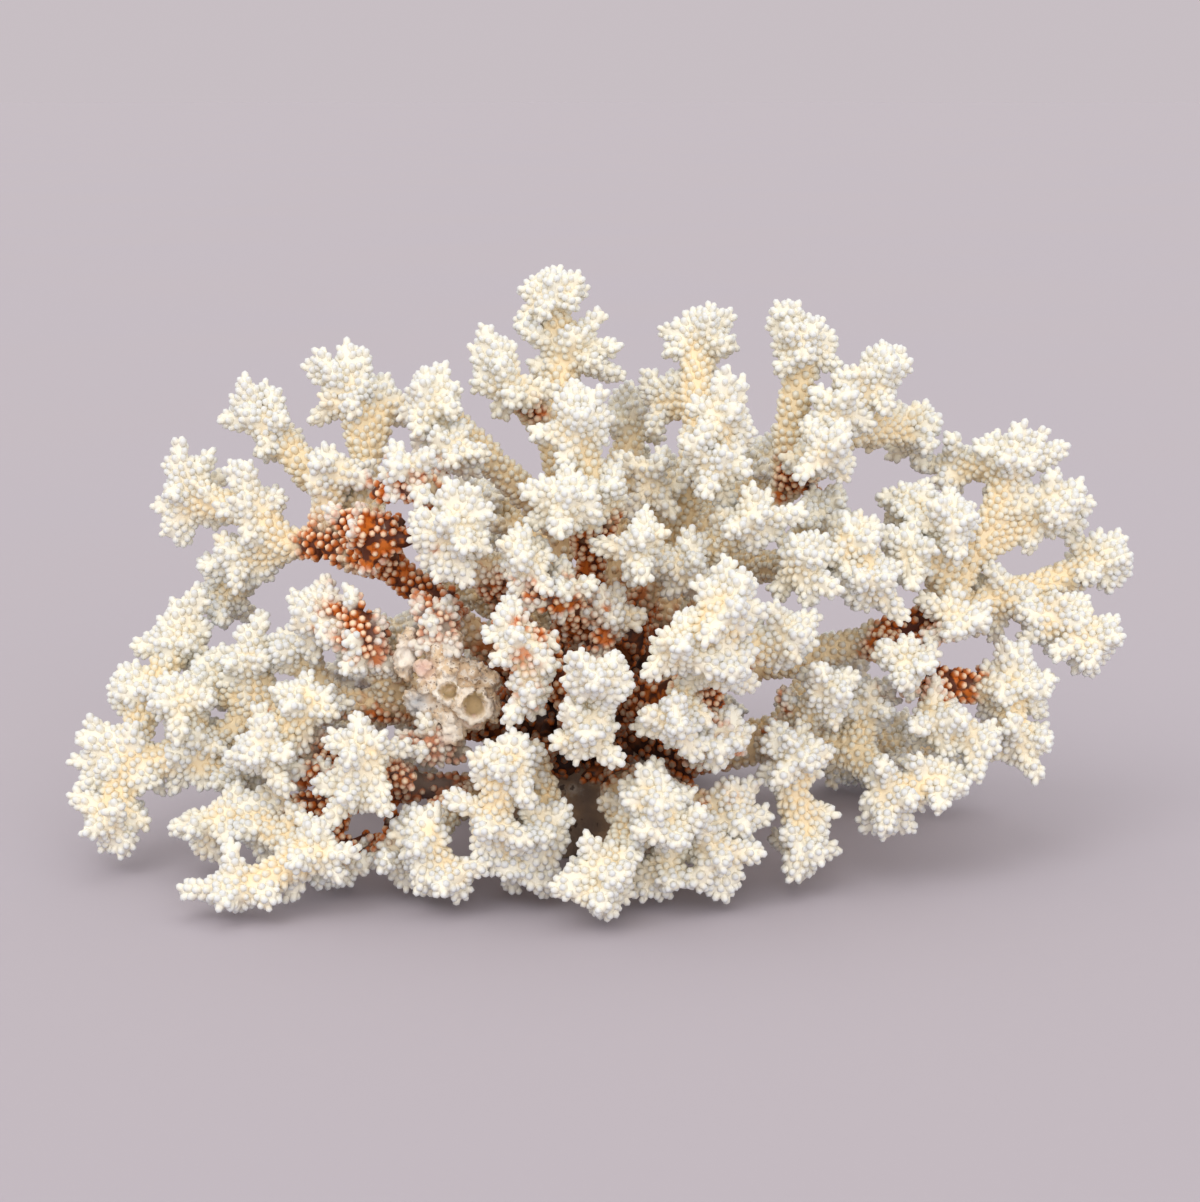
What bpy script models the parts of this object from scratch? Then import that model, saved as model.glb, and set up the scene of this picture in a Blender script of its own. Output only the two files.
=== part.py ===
"""Brownstem coral: a dried branching colony, cut off flat where it grew.

The colony is grown from a skeleton. A holdfast with a flat foot swells into a heart, limbs leave
the heart, and each limb carries sprays: short stems whose ends spread into blunt lobes.
Units are metres, +Z is up, -Y is the front, and the origin is the middle of the flat foot.

The skeleton is written in millimetres on a drawing sheet that stands across the line of sight:
(across, up, depth). Across and up are read on the sheet, depth is the world's Y, and
place() carries the point along the line of sight to that depth.
"""
import math
import random
from collections import namedtuple

import bmesh
import bpy
from mathutils import Matrix, Vector
from mathutils.bvhtree import BVHTree

MM = 0.001

# Line of sight of the drawing sheet
SIGHT_TILT = math.radians(11.0)
SIGHT_REACH = 800.0
SIGHT_AIM_HEIGHT = 72.0
SHEET_AIM_UP = 81.0

# Thickness of the branches, out to the tops of their knobs
STEM_RADIUS = 8.6
HEAD_RADIUS = 8.0
TIP_RADIUS = 4.8
BUD_LENGTH = 13.5
BARE_STEM = 13.0
BUD_SPACING = 9.5
BUD_TURN = math.radians(137.5)
BUD_LEAN = 0.6
BUD_ROOT_RADIUS = 6.4
TIP_SWAY = 3.5
SHORTEST_LEAN = 0.5
SHORTEST_RUN = 0.5
TWIG_SIDES = 12
FLOOR_CLEARANCE = 0.9

# Holdfast: a flat foot, a waist and the heart above it
FOOT_HALF_WIDTH = 39.0
FOOT_HALF_DEPTH = 31.0
FOOT_LUMPS = 9
FOOT_LUMP_RADIUS = 11.0
WAIST_RADIUS = 24.0
WAIST_HEIGHT = 14.0
WAIST_TAPER = 0.5
HEART_ON_SHEET = (-8.0, 42.0, 0.0)
HEART_HALF_SIZES = (31.0, 25.0, 22.0)

# Worm tubes: two short open tubes in a crust
TUBE_WALL = 1.3
TUBE_BORE_DEPTH = 5.0
TUBE_BORE_SIDES = 10
TUBE_BORE_TAPER = 0.7

# Surface: voxel size of the fused skin, facet size of the finished solid, gap between pieces
SKIN_VOXEL = 2.4
SKIN_SMOOTHING = 3
SKIN_SMOOTHING_SHARE = 0.5
SKIN_SWELL = 0.4
FACET_AREA = 50.0
CRUST_FACET_AREA = 14.0
HOLDFAST_FACET_AREA = 70.0
PIECE_GAP = 0.45
WIDER_GAPS = (0.6, 0.9, 1.3)
SMALLEST_EDGE = 0.05

# Where chance starts, for the near side and for the far side
NEAR_SEED = 11
FAR_SEED = 29

# The far side of the colony: limbs of the near side, turned round the upright axis
FAR_TURN = math.radians(176.0)
FAR_SHRINK = 0.93
FAR_WANDER = 2.5

Spray = namedtuple("Spray", "name grows_from centre tips")
Twig = namedtuple("Twig", "start end start_radius end_radius")

NEAR_PIECES = {
    "limb_upper_left": (
        Spray("ul_a", "heart", (-28, 62, -22), ()),
        Spray("ul_b", "ul_a", (-48, 80, -30), ()),
        Spray("ul_c", "ul_b", (-64, 93, -28), ()),
        Spray("ul_d", "ul_c", (-82, 98, -18), ()),
        Spray("ul_low", "ul_c", (-69, 99, -40),
              ((-84, 111), (-77, 98), (-70, 87), (-62, 93), (-64, 109), (-73, 112))),
        Spray("ul_mid", "ul_d", (-80, 118, -14), ((-83, 130), (-76, 126), (-87, 111))),
    ),
    "branch_upper_left_outer": (
        Spray("uo_a", "ul_d", (-94, 98, -10), ()),
        Spray("uo_low", "uo_a", (-106, 94, -5),
              ((-122, 91), (-118, 86), (-106, 83), (-97, 87), (-112, 98))),
        Spray("uo_under", "uo_low", (-112, 82, 6), ((-119, 76), (-112, 72), (-104, 78))),
        Spray("uo_mid", "uo_a", (-102, 108, -8), ((-112, 124), (-107, 125), (-93, 114))),
        Spray("uo_top", "uo_mid", (-122, 111, 5),
              ((-127, 132), (-131, 126), (-116, 128), (-136, 109), (-132, 99), (-126, 96))),
    ),
    "branch_upper_left_inner": (
        Spray("ui_a", "ul_c", (-70, 110, -10), ()),
        Spray("ui_b", "ui_a", (-70, 126, 0), ()),
        Spray("ui_top", "ui_b", (-76, 144, 4),
              ((-76, 161), (-69, 158), (-86, 158), (-90, 153), (-84, 144))),
        Spray("ui_right", "ui_b", (-66, 140, 8), ((-64, 151), (-60, 145), (-61, 136))),
        Spray("ui_c", "ui_a", (-86, 118, 3), ()),
        Spray("ui_left", "ui_c", (-100, 133, 8),
              ((-108, 150), (-101, 149), (-96, 146), (-116, 137), (-112, 144), (-99, 124))),
    ),
    "limb_left": (
        Spray("le_a", "heart", (-36, 44, -28), ()),
        Spray("le_b", "le_a", (-60, 50, -34), ()),
        Spray("le_c", "le_b", (-81, 51, -32), ()),
        Spray("le_d", "le_c", (-102, 50, -26), ()),
        Spray("shelf_right", "le_b", (-70, 69, -50),
              ((-76, 88), (-63, 70), (-61, 59), (-72, 57), (-80, 64), (-66, 80))),
        Spray("shelf_left", "shelf_right", (-84, 77, -44),
              ((-94, 80), (-88, 86), (-79, 86), (-91, 71))),
        Spray("shelf_mid", "le_c", (-90, 66, -34), ((-98, 72), (-92, 77), (-83, 64), (-97, 60))),
        Spray("shelf_end", "le_d", (-116, 58, -18), ((-122, 66), (-124, 52), (-112, 70))),
        Spray("shelf_far", "le_d", (-104, 62, -26),
              ((-101, 80), (-108, 75), (-115, 55), (-106, 46), (-96, 68))),
    ),
    "branch_left_sweep": (
        Spray("sw_a", "le_d", (-121, 36, -30), ((-130, 22), (-118, 22), (-111, 29))),
        Spray("sw_mid", "sw_a", (-141, 33, -30),
              ((-155, 48), (-159, 41), (-161, 33), (-158, 24), (-153, 19), (-147, 46))),
        Spray("sw_low", "sw_mid", (-146, 15, -42),
              ((-152, 9), (-149, 5), (-142, 2), (-138, 6), (-137, 15))),
        Spray("sw_high", "sw_mid", (-135, 54, -20),
              ((-142, 64), (-147, 61), (-149, 55), (-147, 48))),
        Spray("sw_top", "sw_high", (-125, 69, -12),
              ((-120, 88), (-127, 84), (-133, 78), (-137, 71), (-142, 66), (-115, 75))),
        Spray("sw_web", "sw_a", (-126, 51, -34), ((-131, 61), (-121, 60), (-134, 47), (-118, 46))),
        Spray("sw_under", "sw_a", (-108, 29, -32), ((-98, 25), (-112, 20), (-95, 33), (-103, 20))),
    ),
    "branch_left_elbow": (
        Spray("el_top", "le_c", (-88, 50, -56), ((-88, 62), (-94, 57), (-96, 50), (-82, 44), (-79, 55))),
        Spray("el_arm", "el_top", (-99, 36, -60),
              ((-114, 34), (-109, 40), (-109, 30), (-101, 28), (-91, 32))),
    ),
    "limb_lower_left": (
        Spray("ll_a", "heart", (-36, 24, -38), ()),
        Spray("ll_b", "ll_a", (-57, 26, -46), ()),
        Spray("ll_c", "ll_b", (-80, 21, -52), ()),
        Spray("slim_top", "ll_b", (-71, 36, -74), ((-72, 49), (-78, 43), (-63, 42), (-76, 37))),
        Spray("slim_low", "slim_top", (-72, 25, -72), ((-88, 26), (-70, 16), (-65, 27), (-77, 18))),
        Spray("ll_rust", "ll_b", (-86, 33, -50), ((-94, 28), (-83, 26))),
        Spray("ll_under", "ll_c", (-80, -1, -64), ((-75, -8), (-84, -7))),
    ),
    "branch_lower_left": (
        Spray("bl_a", "ll_c", (-101, 15, -53), ((-108, 7), (-96, 23), (-107, 24))),
        Spray("bl_tip", "bl_a", (-116, 15, -51), ((-131, 12), (-124, 8), (-117, 22))),
        Spray("bl_star", "bl_a", (-86, 6, -80),
              ((-86, 17), (-70, 6), (-75, -4), (-97, 2), (-94, -14), (-80, 14))),
        Spray("bl_foot", "bl_star", (-108, -5, -86),
              ((-128, -6), (-117, -1), (-116, -14), (-108, -15), (-100, -9))),
    ),
    "limb_front_left": (
        Spray("fl_a", "heart", (-21, 34, -50), ()),
        Spray("fl_top", "fl_a", (-28, 32, -84),
              ((-23, 44), (-32, 41), (-38, 37), (-18, 37), (-19, 28), (-40, 28), (-38, 24))),
        Spray("fl_low", "fl_top", (-33, 15, -82), ((-36, 9), (-27, 18), (-31, -2), (-37, 2))),
        Spray("fl_back", "fl_low", (-26, 4, -72), ((-26, -10), (-23, -4))),
        Spray("fl_right", "fl_a", (-16, 13, -78),
              ((-8, 22), (-7, 17), (-21, 8), (-21, 0), (-10, 5), (-16, -10))),
    ),
    "branch_front_left_low": (
        Spray("fb_a", "ll_a", (-46, 18, -60), ()),
        Spray("fb_mid", "fb_a", (-52, 10, -78), ((-56, 21), (-48, 22), (-43, 12), (-60, 3), (-60, 14))),
        Spray("fb_right", "fb_mid", (-45, -1, -80), ((-38, -10), (-46, -8), (-50, -7))),
        Spray("fb_left", "fb_a", (-61, 6, -68), ((-66, 11), (-67, 2), (-60, -4), (-56, -8))),
    ),
    "limb_front": (
        Spray("fr_a", "heart", (-4, 46, -50), ()),
        Spray("fr_star", "fr_a", (-1, 57, -90),
              ((-10, 66), (-13, 58), (-8, 51), (8, 66), (12, 57), (8, 50))),
        Spray("fr_low", "fr_a", (-4, 42, -84), ((-11, 44), (-14, 36), (-8, 31), (3, 39), (7, 44))),
        Spray("fr_left", "fr_a", (-24, 70, -74),
              ((-32, 80), (-37, 72), (-20, 77), (-11, 67), (-31, 62))),
        Spray("fr_under", "fr_left", (-20, 54, -76), ((-22, 44), (-15, 50), (-29, 57), (-14, 60))),
    ),
    "limb_centre_left": (
        Spray("cl_a", "heart", (-18, 66, -28), ()),
        Spray("cl_b", "cl_a", (-32, 87, -42), ()),
        Spray("cl_fan", "cl_b", (-44, 102, -60),
              ((-59, 107), (-59, 99), (-55, 91), (-49, 84), (-39, 83), (-45, 120), (-37, 118),
               (-30, 110))),
        Spray("cl_right", "cl_b", (-22, 92, -62),
              ((-28, 103), (-31, 90), (-26, 80), (-16, 86), (-12, 96))),
        Spray("cl_c", "cl_b", (-46, 106, -44), ()),
        Spray("cl_top", "cl_c", (-58, 118, -48), ((-68, 120), (-62, 129), (-49, 125), (-65, 110))),
    ),
    "limb_centre": (
        Spray("ce_a", "heart", (-3, 69, -28), ()),
        Spray("ce_b", "ce_a", (-3, 98, -36), ()),
        Spray("ce_star", "ce_b", (-10, 110, -58),
              ((-26, 115), (-20, 119), (-5, 120), (1, 114), (2, 106), (-7, 100))),
        Spray("ce_c", "ce_b", (-5, 116, -38), ()),
        Spray("ce_top", "ce_c", (-6, 132, -42), ((-8, 149), (-13, 145), (2, 147), (5, 138), (4, 128))),
        Spray("ce_side", "ce_b", (3, 112, -42), ((5, 123), (4, 106), (9, 113))),
        Spray("ce_low", "ce_a", (-11, 82, -58), ((-16, 78), (-11, 73), (-6, 80), (-15, 89))),
        Spray("ce_bud", "ce_a", (3, 74, -48), ((-4, 73), (4, 68), (9, 73))),
    ),
    "limb_top": (
        Spray("to_a", "heart", (-9, 75, 2), ()),
        Spray("to_b", "to_a", (-12, 105, 0), ()),
        Spray("to_c", "to_b", (-15, 132, 0), ()),
        Spray("to_mid", "to_c", (-9, 155, 6), ((-26, 164), (2, 170), (8, 158), (9, 147))),
        Spray("to_tip", "to_mid", (-14, 171, 10),
              ((-26, 175), (-20, 181), (-12, 183), (-4, 180), (-2, 175))),
        Spray("to_left", "to_c", (-28, 146, -12),
              ((-36, 166), (-40, 159), (-38, 152), (-28, 162), (-41, 146), (-30, 133))),
        Spray("to_d", "to_b", (-34, 124, -12), ()),
        Spray("to_low", "to_d", (-46, 126, -26), ((-58, 130), (-38, 136), (-54, 120), (-34, 118))),
        Spray("to_far", "to_d", (-51, 140, -20),
              ((-46, 154), (-52, 153), (-59, 146), (-62, 135), (-40, 147), (-44, 131))),
    ),
    "limb_upper_right": (
        Spray("ur_a", "heart", (8, 66, -2), ()),
        Spray("ur_b", "ur_a", (20, 93, -2), ()),
        Spray("ur_c", "ur_b", (28, 120, -5), ()),
        Spray("ur_d", "ur_c", (29, 140, 5), ()),
        Spray("ur_top", "ur_d", (30, 159, 12),
              ((16, 163), (20, 165), (26, 170), (35, 172), (41, 169), (43, 158), (17, 154))),
        Spray("ur_back", "ur_d", (20, 141, 18), ((12, 152), (11, 143), (14, 132))),
        Spray("ur_front", "ur_c", (37, 135, -38),
              ((38, 153), (44, 150), (25, 140), (46, 137), (48, 130))),
        Spray("ur_low", "ur_front", (34, 121, -42), ((23, 124), (29, 111), (48, 121))),
        Spray("ur_bud", "ur_b", (16, 117, -14), ((18, 124), (12, 115))),
    ),
    "branch_centre_right": (
        Spray("cr_a", "ur_b", (22, 92, -28), ()),
        Spray("cr_left", "cr_a", (11, 97, -60),
              ((16, 106), (20, 102), (8, 104), (4, 98), (18, 93), (10, 84))),
        Spray("cr_mid", "cr_a", (26, 90, -44), ((27, 105), (31, 98), (18, 81))),
        Spray("cr_right", "cr_a", (45, 104, -46), ((38, 109), (64, 109), (48, 94), (56, 100))),
    ),
    "limb_right_upper": (
        Spray("ru_a", "heart", (18, 63, 6), ()),
        Spray("ru_b", "ru_a", (39, 90, 8), ()),
        Spray("ru_c", "ru_b", (57, 117, 2), ()),
        Spray("ru_d", "ru_c", (58, 140, -2), ()),
        Spray("ru_top", "ru_d", (60, 158, -2),
              ((57, 173), (52, 172), (49, 166), (68, 167), (73, 160), (74, 148), (50, 156))),
        Spray("ru_e", "ru_c", (74, 132, -4), ()),
        Spray("ru_side", "ru_e", (82, 147, -5), ((80, 158), (86, 160), (92, 158), (95, 153), (90, 142))),
        Spray("ru_far", "ru_e", (94, 131, 14), ((99, 142), (103, 135), (100, 126), (98, 118))),
        Spray("ru_mid", "ru_c", (70, 138, -14), ((62, 147), (79, 144), (84, 133), (60, 133))),
        Spray("ru_front", "ru_c", (68, 126, -36),
              ((64, 134), (75, 130), (61, 123), (65, 118), (74, 120))),
    ),
    "branch_right_inner": (
        Spray("ri_a", "ru_b", (58, 90, -20), ()),
        Spray("ri_left", "ri_a", (60, 92, -50),
              ((58, 103), (63, 103), (53, 97), (56, 88), (64, 84), (63, 77))),
        Spray("ri_top", "ri_a", (76, 98, -40), ((73, 109), (79, 103))),
        Spray("ri_low", "ri_top", (81, 86, -44), ((89, 88), (77, 76), (72, 81), (87, 95), (70, 91))),
        Spray("ri_back", "ri_a", (66, 108, -16), ((62, 116), (72, 114), (58, 106))),
    ),
    "limb_right": (
        Spray("rt_a", "heart", (30, 57, -8), ()),
        Spray("rt_b", "rt_a", (57, 63, -14), ()),
        Spray("rt_c", "rt_b", (81, 69, -20), ()),
        Spray("rt_d", "rt_c", (99, 75, -18), ()),
        Spray("rt_front", "rt_c", (92, 62, -46), ((94, 73), (97, 66), (83, 62), (92, 52), (97, 56))),
        Spray("rt_bud", "rt_d", (108, 75, -36), ((112, 81), (115, 75), (110, 69))),
        Spray("rt_e", "rt_d", (102, 90, -22), ()),
        Spray("rt_high", "rt_e", (104, 104, -26),
              ((104, 117), (110, 113), (115, 106), (112, 98), (98, 98))),
        Spray("rt_back", "rt_high", (92, 110, -14), ((90, 118), (97, 116), (86, 108), (81, 113))),
        Spray("rt_wide", "rt_e", (93, 95, -28), ((83, 104), (83, 93), (89, 84), (99, 86), (90, 105))),
    ),
    "branch_right_fan": (
        Spray("fan_a", "rt_d", (112, 95, -4), ()),
        Spray("fan_high", "fan_a", (122, 120, 0),
              ((111, 130), (117, 134), (127, 137), (135, 134), (142, 128))),
        Spray("fan_low", "fan_a", (135, 109, 0),
              ((147, 118), (150, 111), (146, 102), (136, 98), (126, 94))),
        Spray("fan_back", "fan_high", (107, 121, 14), ((105, 128), (110, 129))),
    ),
    "branch_right_arms": (
        Spray("arm_a", "rt_d", (121, 82, -6), ((122, 88), (118, 83), (116, 94))),
        Spray("arm_b", "arm_a", (138, 88, 2), ()),
        Spray("arm_high", "arm_b", (149, 93, 3),
              ((149, 104), (158, 103), (161, 95), (160, 87), (154, 82))),
        Spray("arm_mid", "arm_a", (136, 75, -14), ((147, 84), (135, 64))),
        Spray("arm_low", "arm_mid", (147, 70, -18),
              ((157, 77), (157, 70), (154, 64), (148, 57), (141, 58))),
    ),
    "branch_right_elbow": (
        Spray("re_a", "rt_c", (100, 57, -26), ()),
        Spray("re_top", "re_a", (122, 55, -26),
              ((121, 72), (128, 70), (131, 64), (139, 59), (137, 54), (135, 46), (113, 63))),
        Spray("re_low", "re_top", (126, 40, -32), ((134, 40), (129, 33), (123, 30), (118, 38))),
        Spray("re_front", "re_a", (99, 46, -42), ((94, 51), (94, 40), (104, 50))),
        Spray("re_end", "re_front", (111, 40, -44), ((118, 34), (114, 32), (117, 44), (106, 35))),
    ),
    "limb_right_low": (
        Spray("rl_a", "heart", (24, 34, -18), ()),
        Spray("rl_b", "rl_a", (51, 38, -28), ()),
        Spray("rl_c", "rl_b", (75, 36, -36), ()),
        Spray("rl_high", "rl_c", (80, 49, -32), ((77, 60), (90, 52), (88, 42))),
        Spray("rl_side", "rl_c", (87, 24, -52),
              ((78, 10), (85, 8), (94, 10), (99, 19), (76, 18), (80, 32))),
        Spray("rl_end", "rl_side", (102, 28, -50), ((112, 27), (110, 22), (104, 36))),
        Spray("rl_star", "rl_b", (68, 54, -58),
              ((70, 62), (75, 57), (76, 50), (68, 46), (61, 50), (60, 56))),
        Spray("rl_tall", "rl_b", (58, 34, -62),
              ((50, 47), (47, 40), (46, 27), (52, 22), (68, 39), (68, 28))),
        Spray("rl_foot", "rl_tall", (61, 8, -62), ((54, 2), (60, -5), (68, 4), (54, 16), (69, 16))),
    ),
    "limb_front_right": (
        Spray("fx_a", "heart", (12, 50, -34), ()),
        Spray("fx_b", "fx_a", (30, 60, -56), ()),
        Spray("fx_top", "fx_b", (38, 78, -84), ((38, 97), (44, 92), (27, 89), (52, 78), (47, 70))),
        Spray("fx_low", "fx_top", (37, 60, -84), ((47, 64), (44, 57), (39, 52), (33, 56))),
        Spray("fx_left", "fx_top", (23, 67, -86), ((13, 69), (17, 73), (22, 58), (28, 58), (26, 80))),
        Spray("fx_round", "fx_b", (22, 44, -86), ((16, 50), (25, 51), (15, 43), (20, 37), (29, 44))),
        Spray("fx_under", "fx_b", (34, 38, -74),
              ((41, 51), (29, 45), (28, 34), (34, 28), (40, 32), (42, 39))),
        Spray("fx_side", "fx_b", (56, 70, -60),
              ((52, 80), (67, 69), (60, 62), (52, 58), (47, 70), (61, 77))),
    ),
    "limb_front_low": (
        Spray("lo_a", "heart", (6, 27, -38), ()),
        Spray("lo_b", "lo_a", (21, 21, -60), ()),
        Spray("lo_top", "lo_b", (16, 22, -88), ((12, 34), (5, 22), (10, 15), (20, 31), (27, 22))),
        Spray("lo_end", "lo_top", (22, 12, -88), ((21, 5), (26, 7), (29, 14))),
        Spray("lo_c", "lo_a", (9, 12, -76), ((16, 9), (4, 16))),
        Spray("lo_mid", "lo_c", (3, 2, -90), ((2, 11), (-3, 7), (14, 6), (10, 0))),
        Spray("lo_foot", "lo_mid", (0, -6, -93), ((-6, -10), (0, -15), (6, -8))),
        Spray("lo_back", "lo_b", (20, 0, -78), ((18, -11), (26, -3), (14, -8))),
        Spray("lo_right", "lo_b", (34, 6, -78), ((27, 2), (28, 8), (38, -11), (43, -5), (32, -8))),
        Spray("lo_side", "lo_b", (40, 17, -68), ((47, 8), (43, 5), (46, 18), (39, 30))),
    ),
    "branch_crusted": (
        Spray("bc_a", "le_a", (-44, 54, -44), ()),
        Spray("bc_top", "bc_a", (-48, 74, -52), ((-58, 81), (-48, 83), (-42, 80), (-42, 72), (-53, 69))),
        Spray("bc_low", "bc_a", (-50, 37, -56), ((-56, 38), (-54, 32), (-46, 31), (-43, 37))),
    ),
}

# Far pieces: name, the near pieces that they repeat, and the turn that is added to FAR_TURN
FAR_PIECES = (
    ("limb_back_left", ("limb_front_right",), 4.0),
    ("limb_back_right", ("limb_front_left",), -3.0),
    ("limb_back_middle", ("limb_front",), 0.0),
    ("limb_back_low", ("limb_front_low",), 2.0),
    ("limb_back_high_right", ("limb_centre_left",), 3.0),
    ("limb_back_high_middle", ("limb_centre",), -2.0),
    ("limb_back_far_right", ("limb_lower_left", "branch_lower_left"), -6.0),
    ("limb_back_far_left", ("limb_right_low",), 8.0),
    ("limb_back_high_left", ("branch_centre_right",), 0.0),
)

# The order in which pieces take their room: each is cut back from those before it
PIECE_ORDER = (
    "limb_front", "limb_front_right", "limb_front_left", "limb_front_low", "limb_lower_left",
    "limb_upper_left", "limb_left", "limb_right_low", "limb_right", "limb_centre_left",
    "limb_centre", "limb_upper_right", "limb_right_upper", "limb_top", "branch_left_elbow",
    "branch_left_sweep", "branch_upper_left_outer", "branch_upper_left_inner",
    "branch_lower_left", "branch_front_left_low", "branch_crusted", "branch_centre_right",
    "branch_right_inner", "branch_right_fan", "branch_right_arms", "branch_right_elbow",
)

BLEACHED = (0.93, 0.89, 0.79, 1.0)
STONE = (0.55, 0.48, 0.42, 1.0)
CRUST = (0.80, 0.72, 0.62, 1.0)
BLEACHED_ROUGHNESS = 0.8
STONE_ROUGHNESS = 0.85
CRUST_ROUGHNESS = 0.7


def place(across, up, depth):
    """Carry a point of the drawing sheet along the line of sight to its depth, in millimetres."""
    eye = Vector((0.0, -SIGHT_REACH * math.cos(SIGHT_TILT),
                  SIGHT_AIM_HEIGHT + SIGHT_REACH * math.sin(SIGHT_TILT)))
    rise = up - SHEET_AIM_UP
    mark = Vector((across, rise * math.sin(SIGHT_TILT), SIGHT_AIM_HEIGHT + rise * math.cos(SIGHT_TILT)))
    return eye + (mark - eye) * ((depth - eye.y) / (mark.y - eye.y))


HEART = place(*HEART_ON_SHEET)


# Lumps of the crust (across, up, depth, radius), and its two tubes from root to mouth
CRUST_LUMPS = (
    (-50, 57, -58, 4.5), (-45, 60, -59, 4.5), (-39, 60, -58, 4.0), (-34, 57, -57, 3.8),
    (-51, 50, -57, 4.0), (-45, 47, -58, 4.2), (-38, 46, -57, 4.0), (-42, 53, -57, 6.0),
)
TUBE_MOUTHS = (
    Twig(place(-45, 54, -58), place(-46, 54.5, -65), 3.4, 3.3),
    Twig(place(-37, 51, -58), place(-37, 50.5, -65), 4.4, 4.3),
)


def above_floor(point, radius):
    """Lift a branch's centre point so that its skin stays clear of the floor."""
    lowest = radius + FLOOR_CLEARANCE
    return Vector((point.x, point.y, max(point.z, lowest)))


def stem_buds(start, end, dice):
    """Short side lobes in a spiral round the outer part of a stem that carries a head."""
    run = end - start
    along = run.normalized()
    across = along.orthogonal().normalized()
    buds = []
    reach = BARE_STEM
    angle = dice.uniform(0.0, math.tau)
    while reach < run.length:
        side = Matrix.Rotation(angle, 3, along) @ across
        root = start + along * reach
        tip = root + (side + along * BUD_LEAN).normalized() * (BUD_LENGTH - TIP_RADIUS)
        buds.append(Twig(root, above_floor(tip, TIP_RADIUS), BUD_ROOT_RADIUS, TIP_RADIUS))
        reach += BUD_SPACING
        angle += BUD_TURN
    return buds


def spray_twigs(spray, centres, dice):
    """The twigs of one spray: its stem, its lobes out to the tips, and buds across them."""
    start = centres[spray.grows_from]
    end = centres[spray.name]
    end_radius = HEAD_RADIUS if spray.tips else STEM_RADIUS
    twigs = [Twig(start, end, STEM_RADIUS if spray.grows_from == "heart" else HEAD_RADIUS, end_radius)]
    if spray.tips and spray.grows_from != "heart":
        twigs += stem_buds(start, end, dice)
    for across, up in spray.tips:
        tip = place(across, up, spray.centre[2] + dice.uniform(-TIP_SWAY, TIP_SWAY))
        run = tip - end
        tip = above_floor(tip - run.normalized() * TIP_RADIUS, TIP_RADIUS)
        twigs.append(Twig(end, tip, HEAD_RADIUS, TIP_RADIUS))
    if spray.tips:
        outward = (end - HEART).normalized()
        for side in (Vector((0.0, -1.0, 0.0)), Vector((0.0, 1.0, 0.0))):
            lean = outward + side
            if lean.length > SHORTEST_LEAN:
                tip = above_floor(end + lean.normalized() * (BUD_LENGTH - TIP_RADIUS), TIP_RADIUS)
                twigs.append(Twig(end, tip, HEAD_RADIUS, TIP_RADIUS))
    return twigs


def near_centres():
    """Where each spray's centre stands, by the spray's name."""
    centres = {"heart": HEART}
    for sprays in NEAR_PIECES.values():
        for spray in sprays:
            radius = HEAD_RADIUS if spray.tips else STEM_RADIUS
            centres[spray.name] = above_floor(place(*spray.centre), radius)
    return centres


def near_twigs():
    """The twigs of every near piece."""
    centres = near_centres()
    dice = random.Random(NEAR_SEED)
    return {name: [twig for spray in sprays for twig in spray_twigs(spray, centres, dice)]
            for name, sprays in NEAR_PIECES.items()}


def turned_twigs(twigs, angle, dice):
    """A far limb: the near limb's twigs turned round the upright axis, a little smaller and askew."""
    turn = Matrix.Rotation(angle, 3, "Z")
    wander = {}

    def moved(point, radius):
        key = tuple(round(value, 3) for value in point)
        if key not in wander:
            wander[key] = Vector([dice.uniform(-FAR_WANDER, FAR_WANDER) for _ in range(3)])
        if (point - HEART).length < SHORTEST_RUN:
            return point.copy()
        flat = turn @ (point * FAR_SHRINK)
        return above_floor(flat + wander[key], radius)

    return [Twig(moved(twig.start, twig.start_radius), moved(twig.end, twig.end_radius),
                 twig.start_radius, twig.end_radius) for twig in twigs]


def add_bead(shape, centre, radius):
    """Add a round bead to a bmesh."""
    bmesh.ops.create_icosphere(shape, subdivisions=2, radius=radius * MM,
                               matrix=Matrix.Translation(centre * MM))


def add_twig(shape, twig):
    """Add a tapered branch with round ends to a bmesh."""
    add_bead(shape, twig.start, twig.start_radius)
    add_bead(shape, twig.end, twig.end_radius)
    run = twig.end - twig.start
    if run.length < SHORTEST_RUN:
        return
    lie = run.to_track_quat("Z", "Y").to_matrix().to_4x4()
    middle = Matrix.Translation((twig.start + twig.end) * 0.5 * MM)
    bmesh.ops.create_cone(shape, cap_ends=True, segments=TWIG_SIDES, radius1=twig.start_radius * MM,
                          radius2=twig.end_radius * MM, depth=run.length * MM, matrix=middle @ lie)


def make_object(name, shape):
    """Turn a bmesh into a named object in the scene."""
    mesh = bpy.data.meshes.new(name)
    shape.to_mesh(mesh)
    shape.free()
    thing = bpy.data.objects.new(name, mesh)
    bpy.context.scene.collection.objects.link(thing)
    return thing


def settle(thing):
    """Bake an object's modifiers into its mesh."""
    bpy.context.view_layer.update()
    graph = bpy.context.evaluated_depsgraph_get()
    mesh = bpy.data.meshes.new_from_object(thing.evaluated_get(graph))
    thing.modifiers.clear()
    thing.data = mesh
    mesh.name = thing.name


def swell(thing, distance):
    """Move an object's skin outwards by a distance in millimetres, and bake it."""
    grow = thing.modifiers.new("swell", "DISPLACE")
    grow.strength = distance * MM
    grow.mid_level = 0.0
    grow.direction = "NORMAL"
    settle(thing)


def fuse_skin(thing):
    """Fuse overlapping beads and cones in one smooth closed skin."""
    fused = thing.modifiers.new("fused", "REMESH")
    fused.mode = "VOXEL"
    fused.voxel_size = SKIN_VOXEL * MM
    smooth = thing.modifiers.new("smooth", "SMOOTH")
    smooth.factor = SKIN_SMOOTHING_SHARE
    smooth.iterations = SKIN_SMOOTHING
    swell(thing, SKIN_SWELL)


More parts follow.
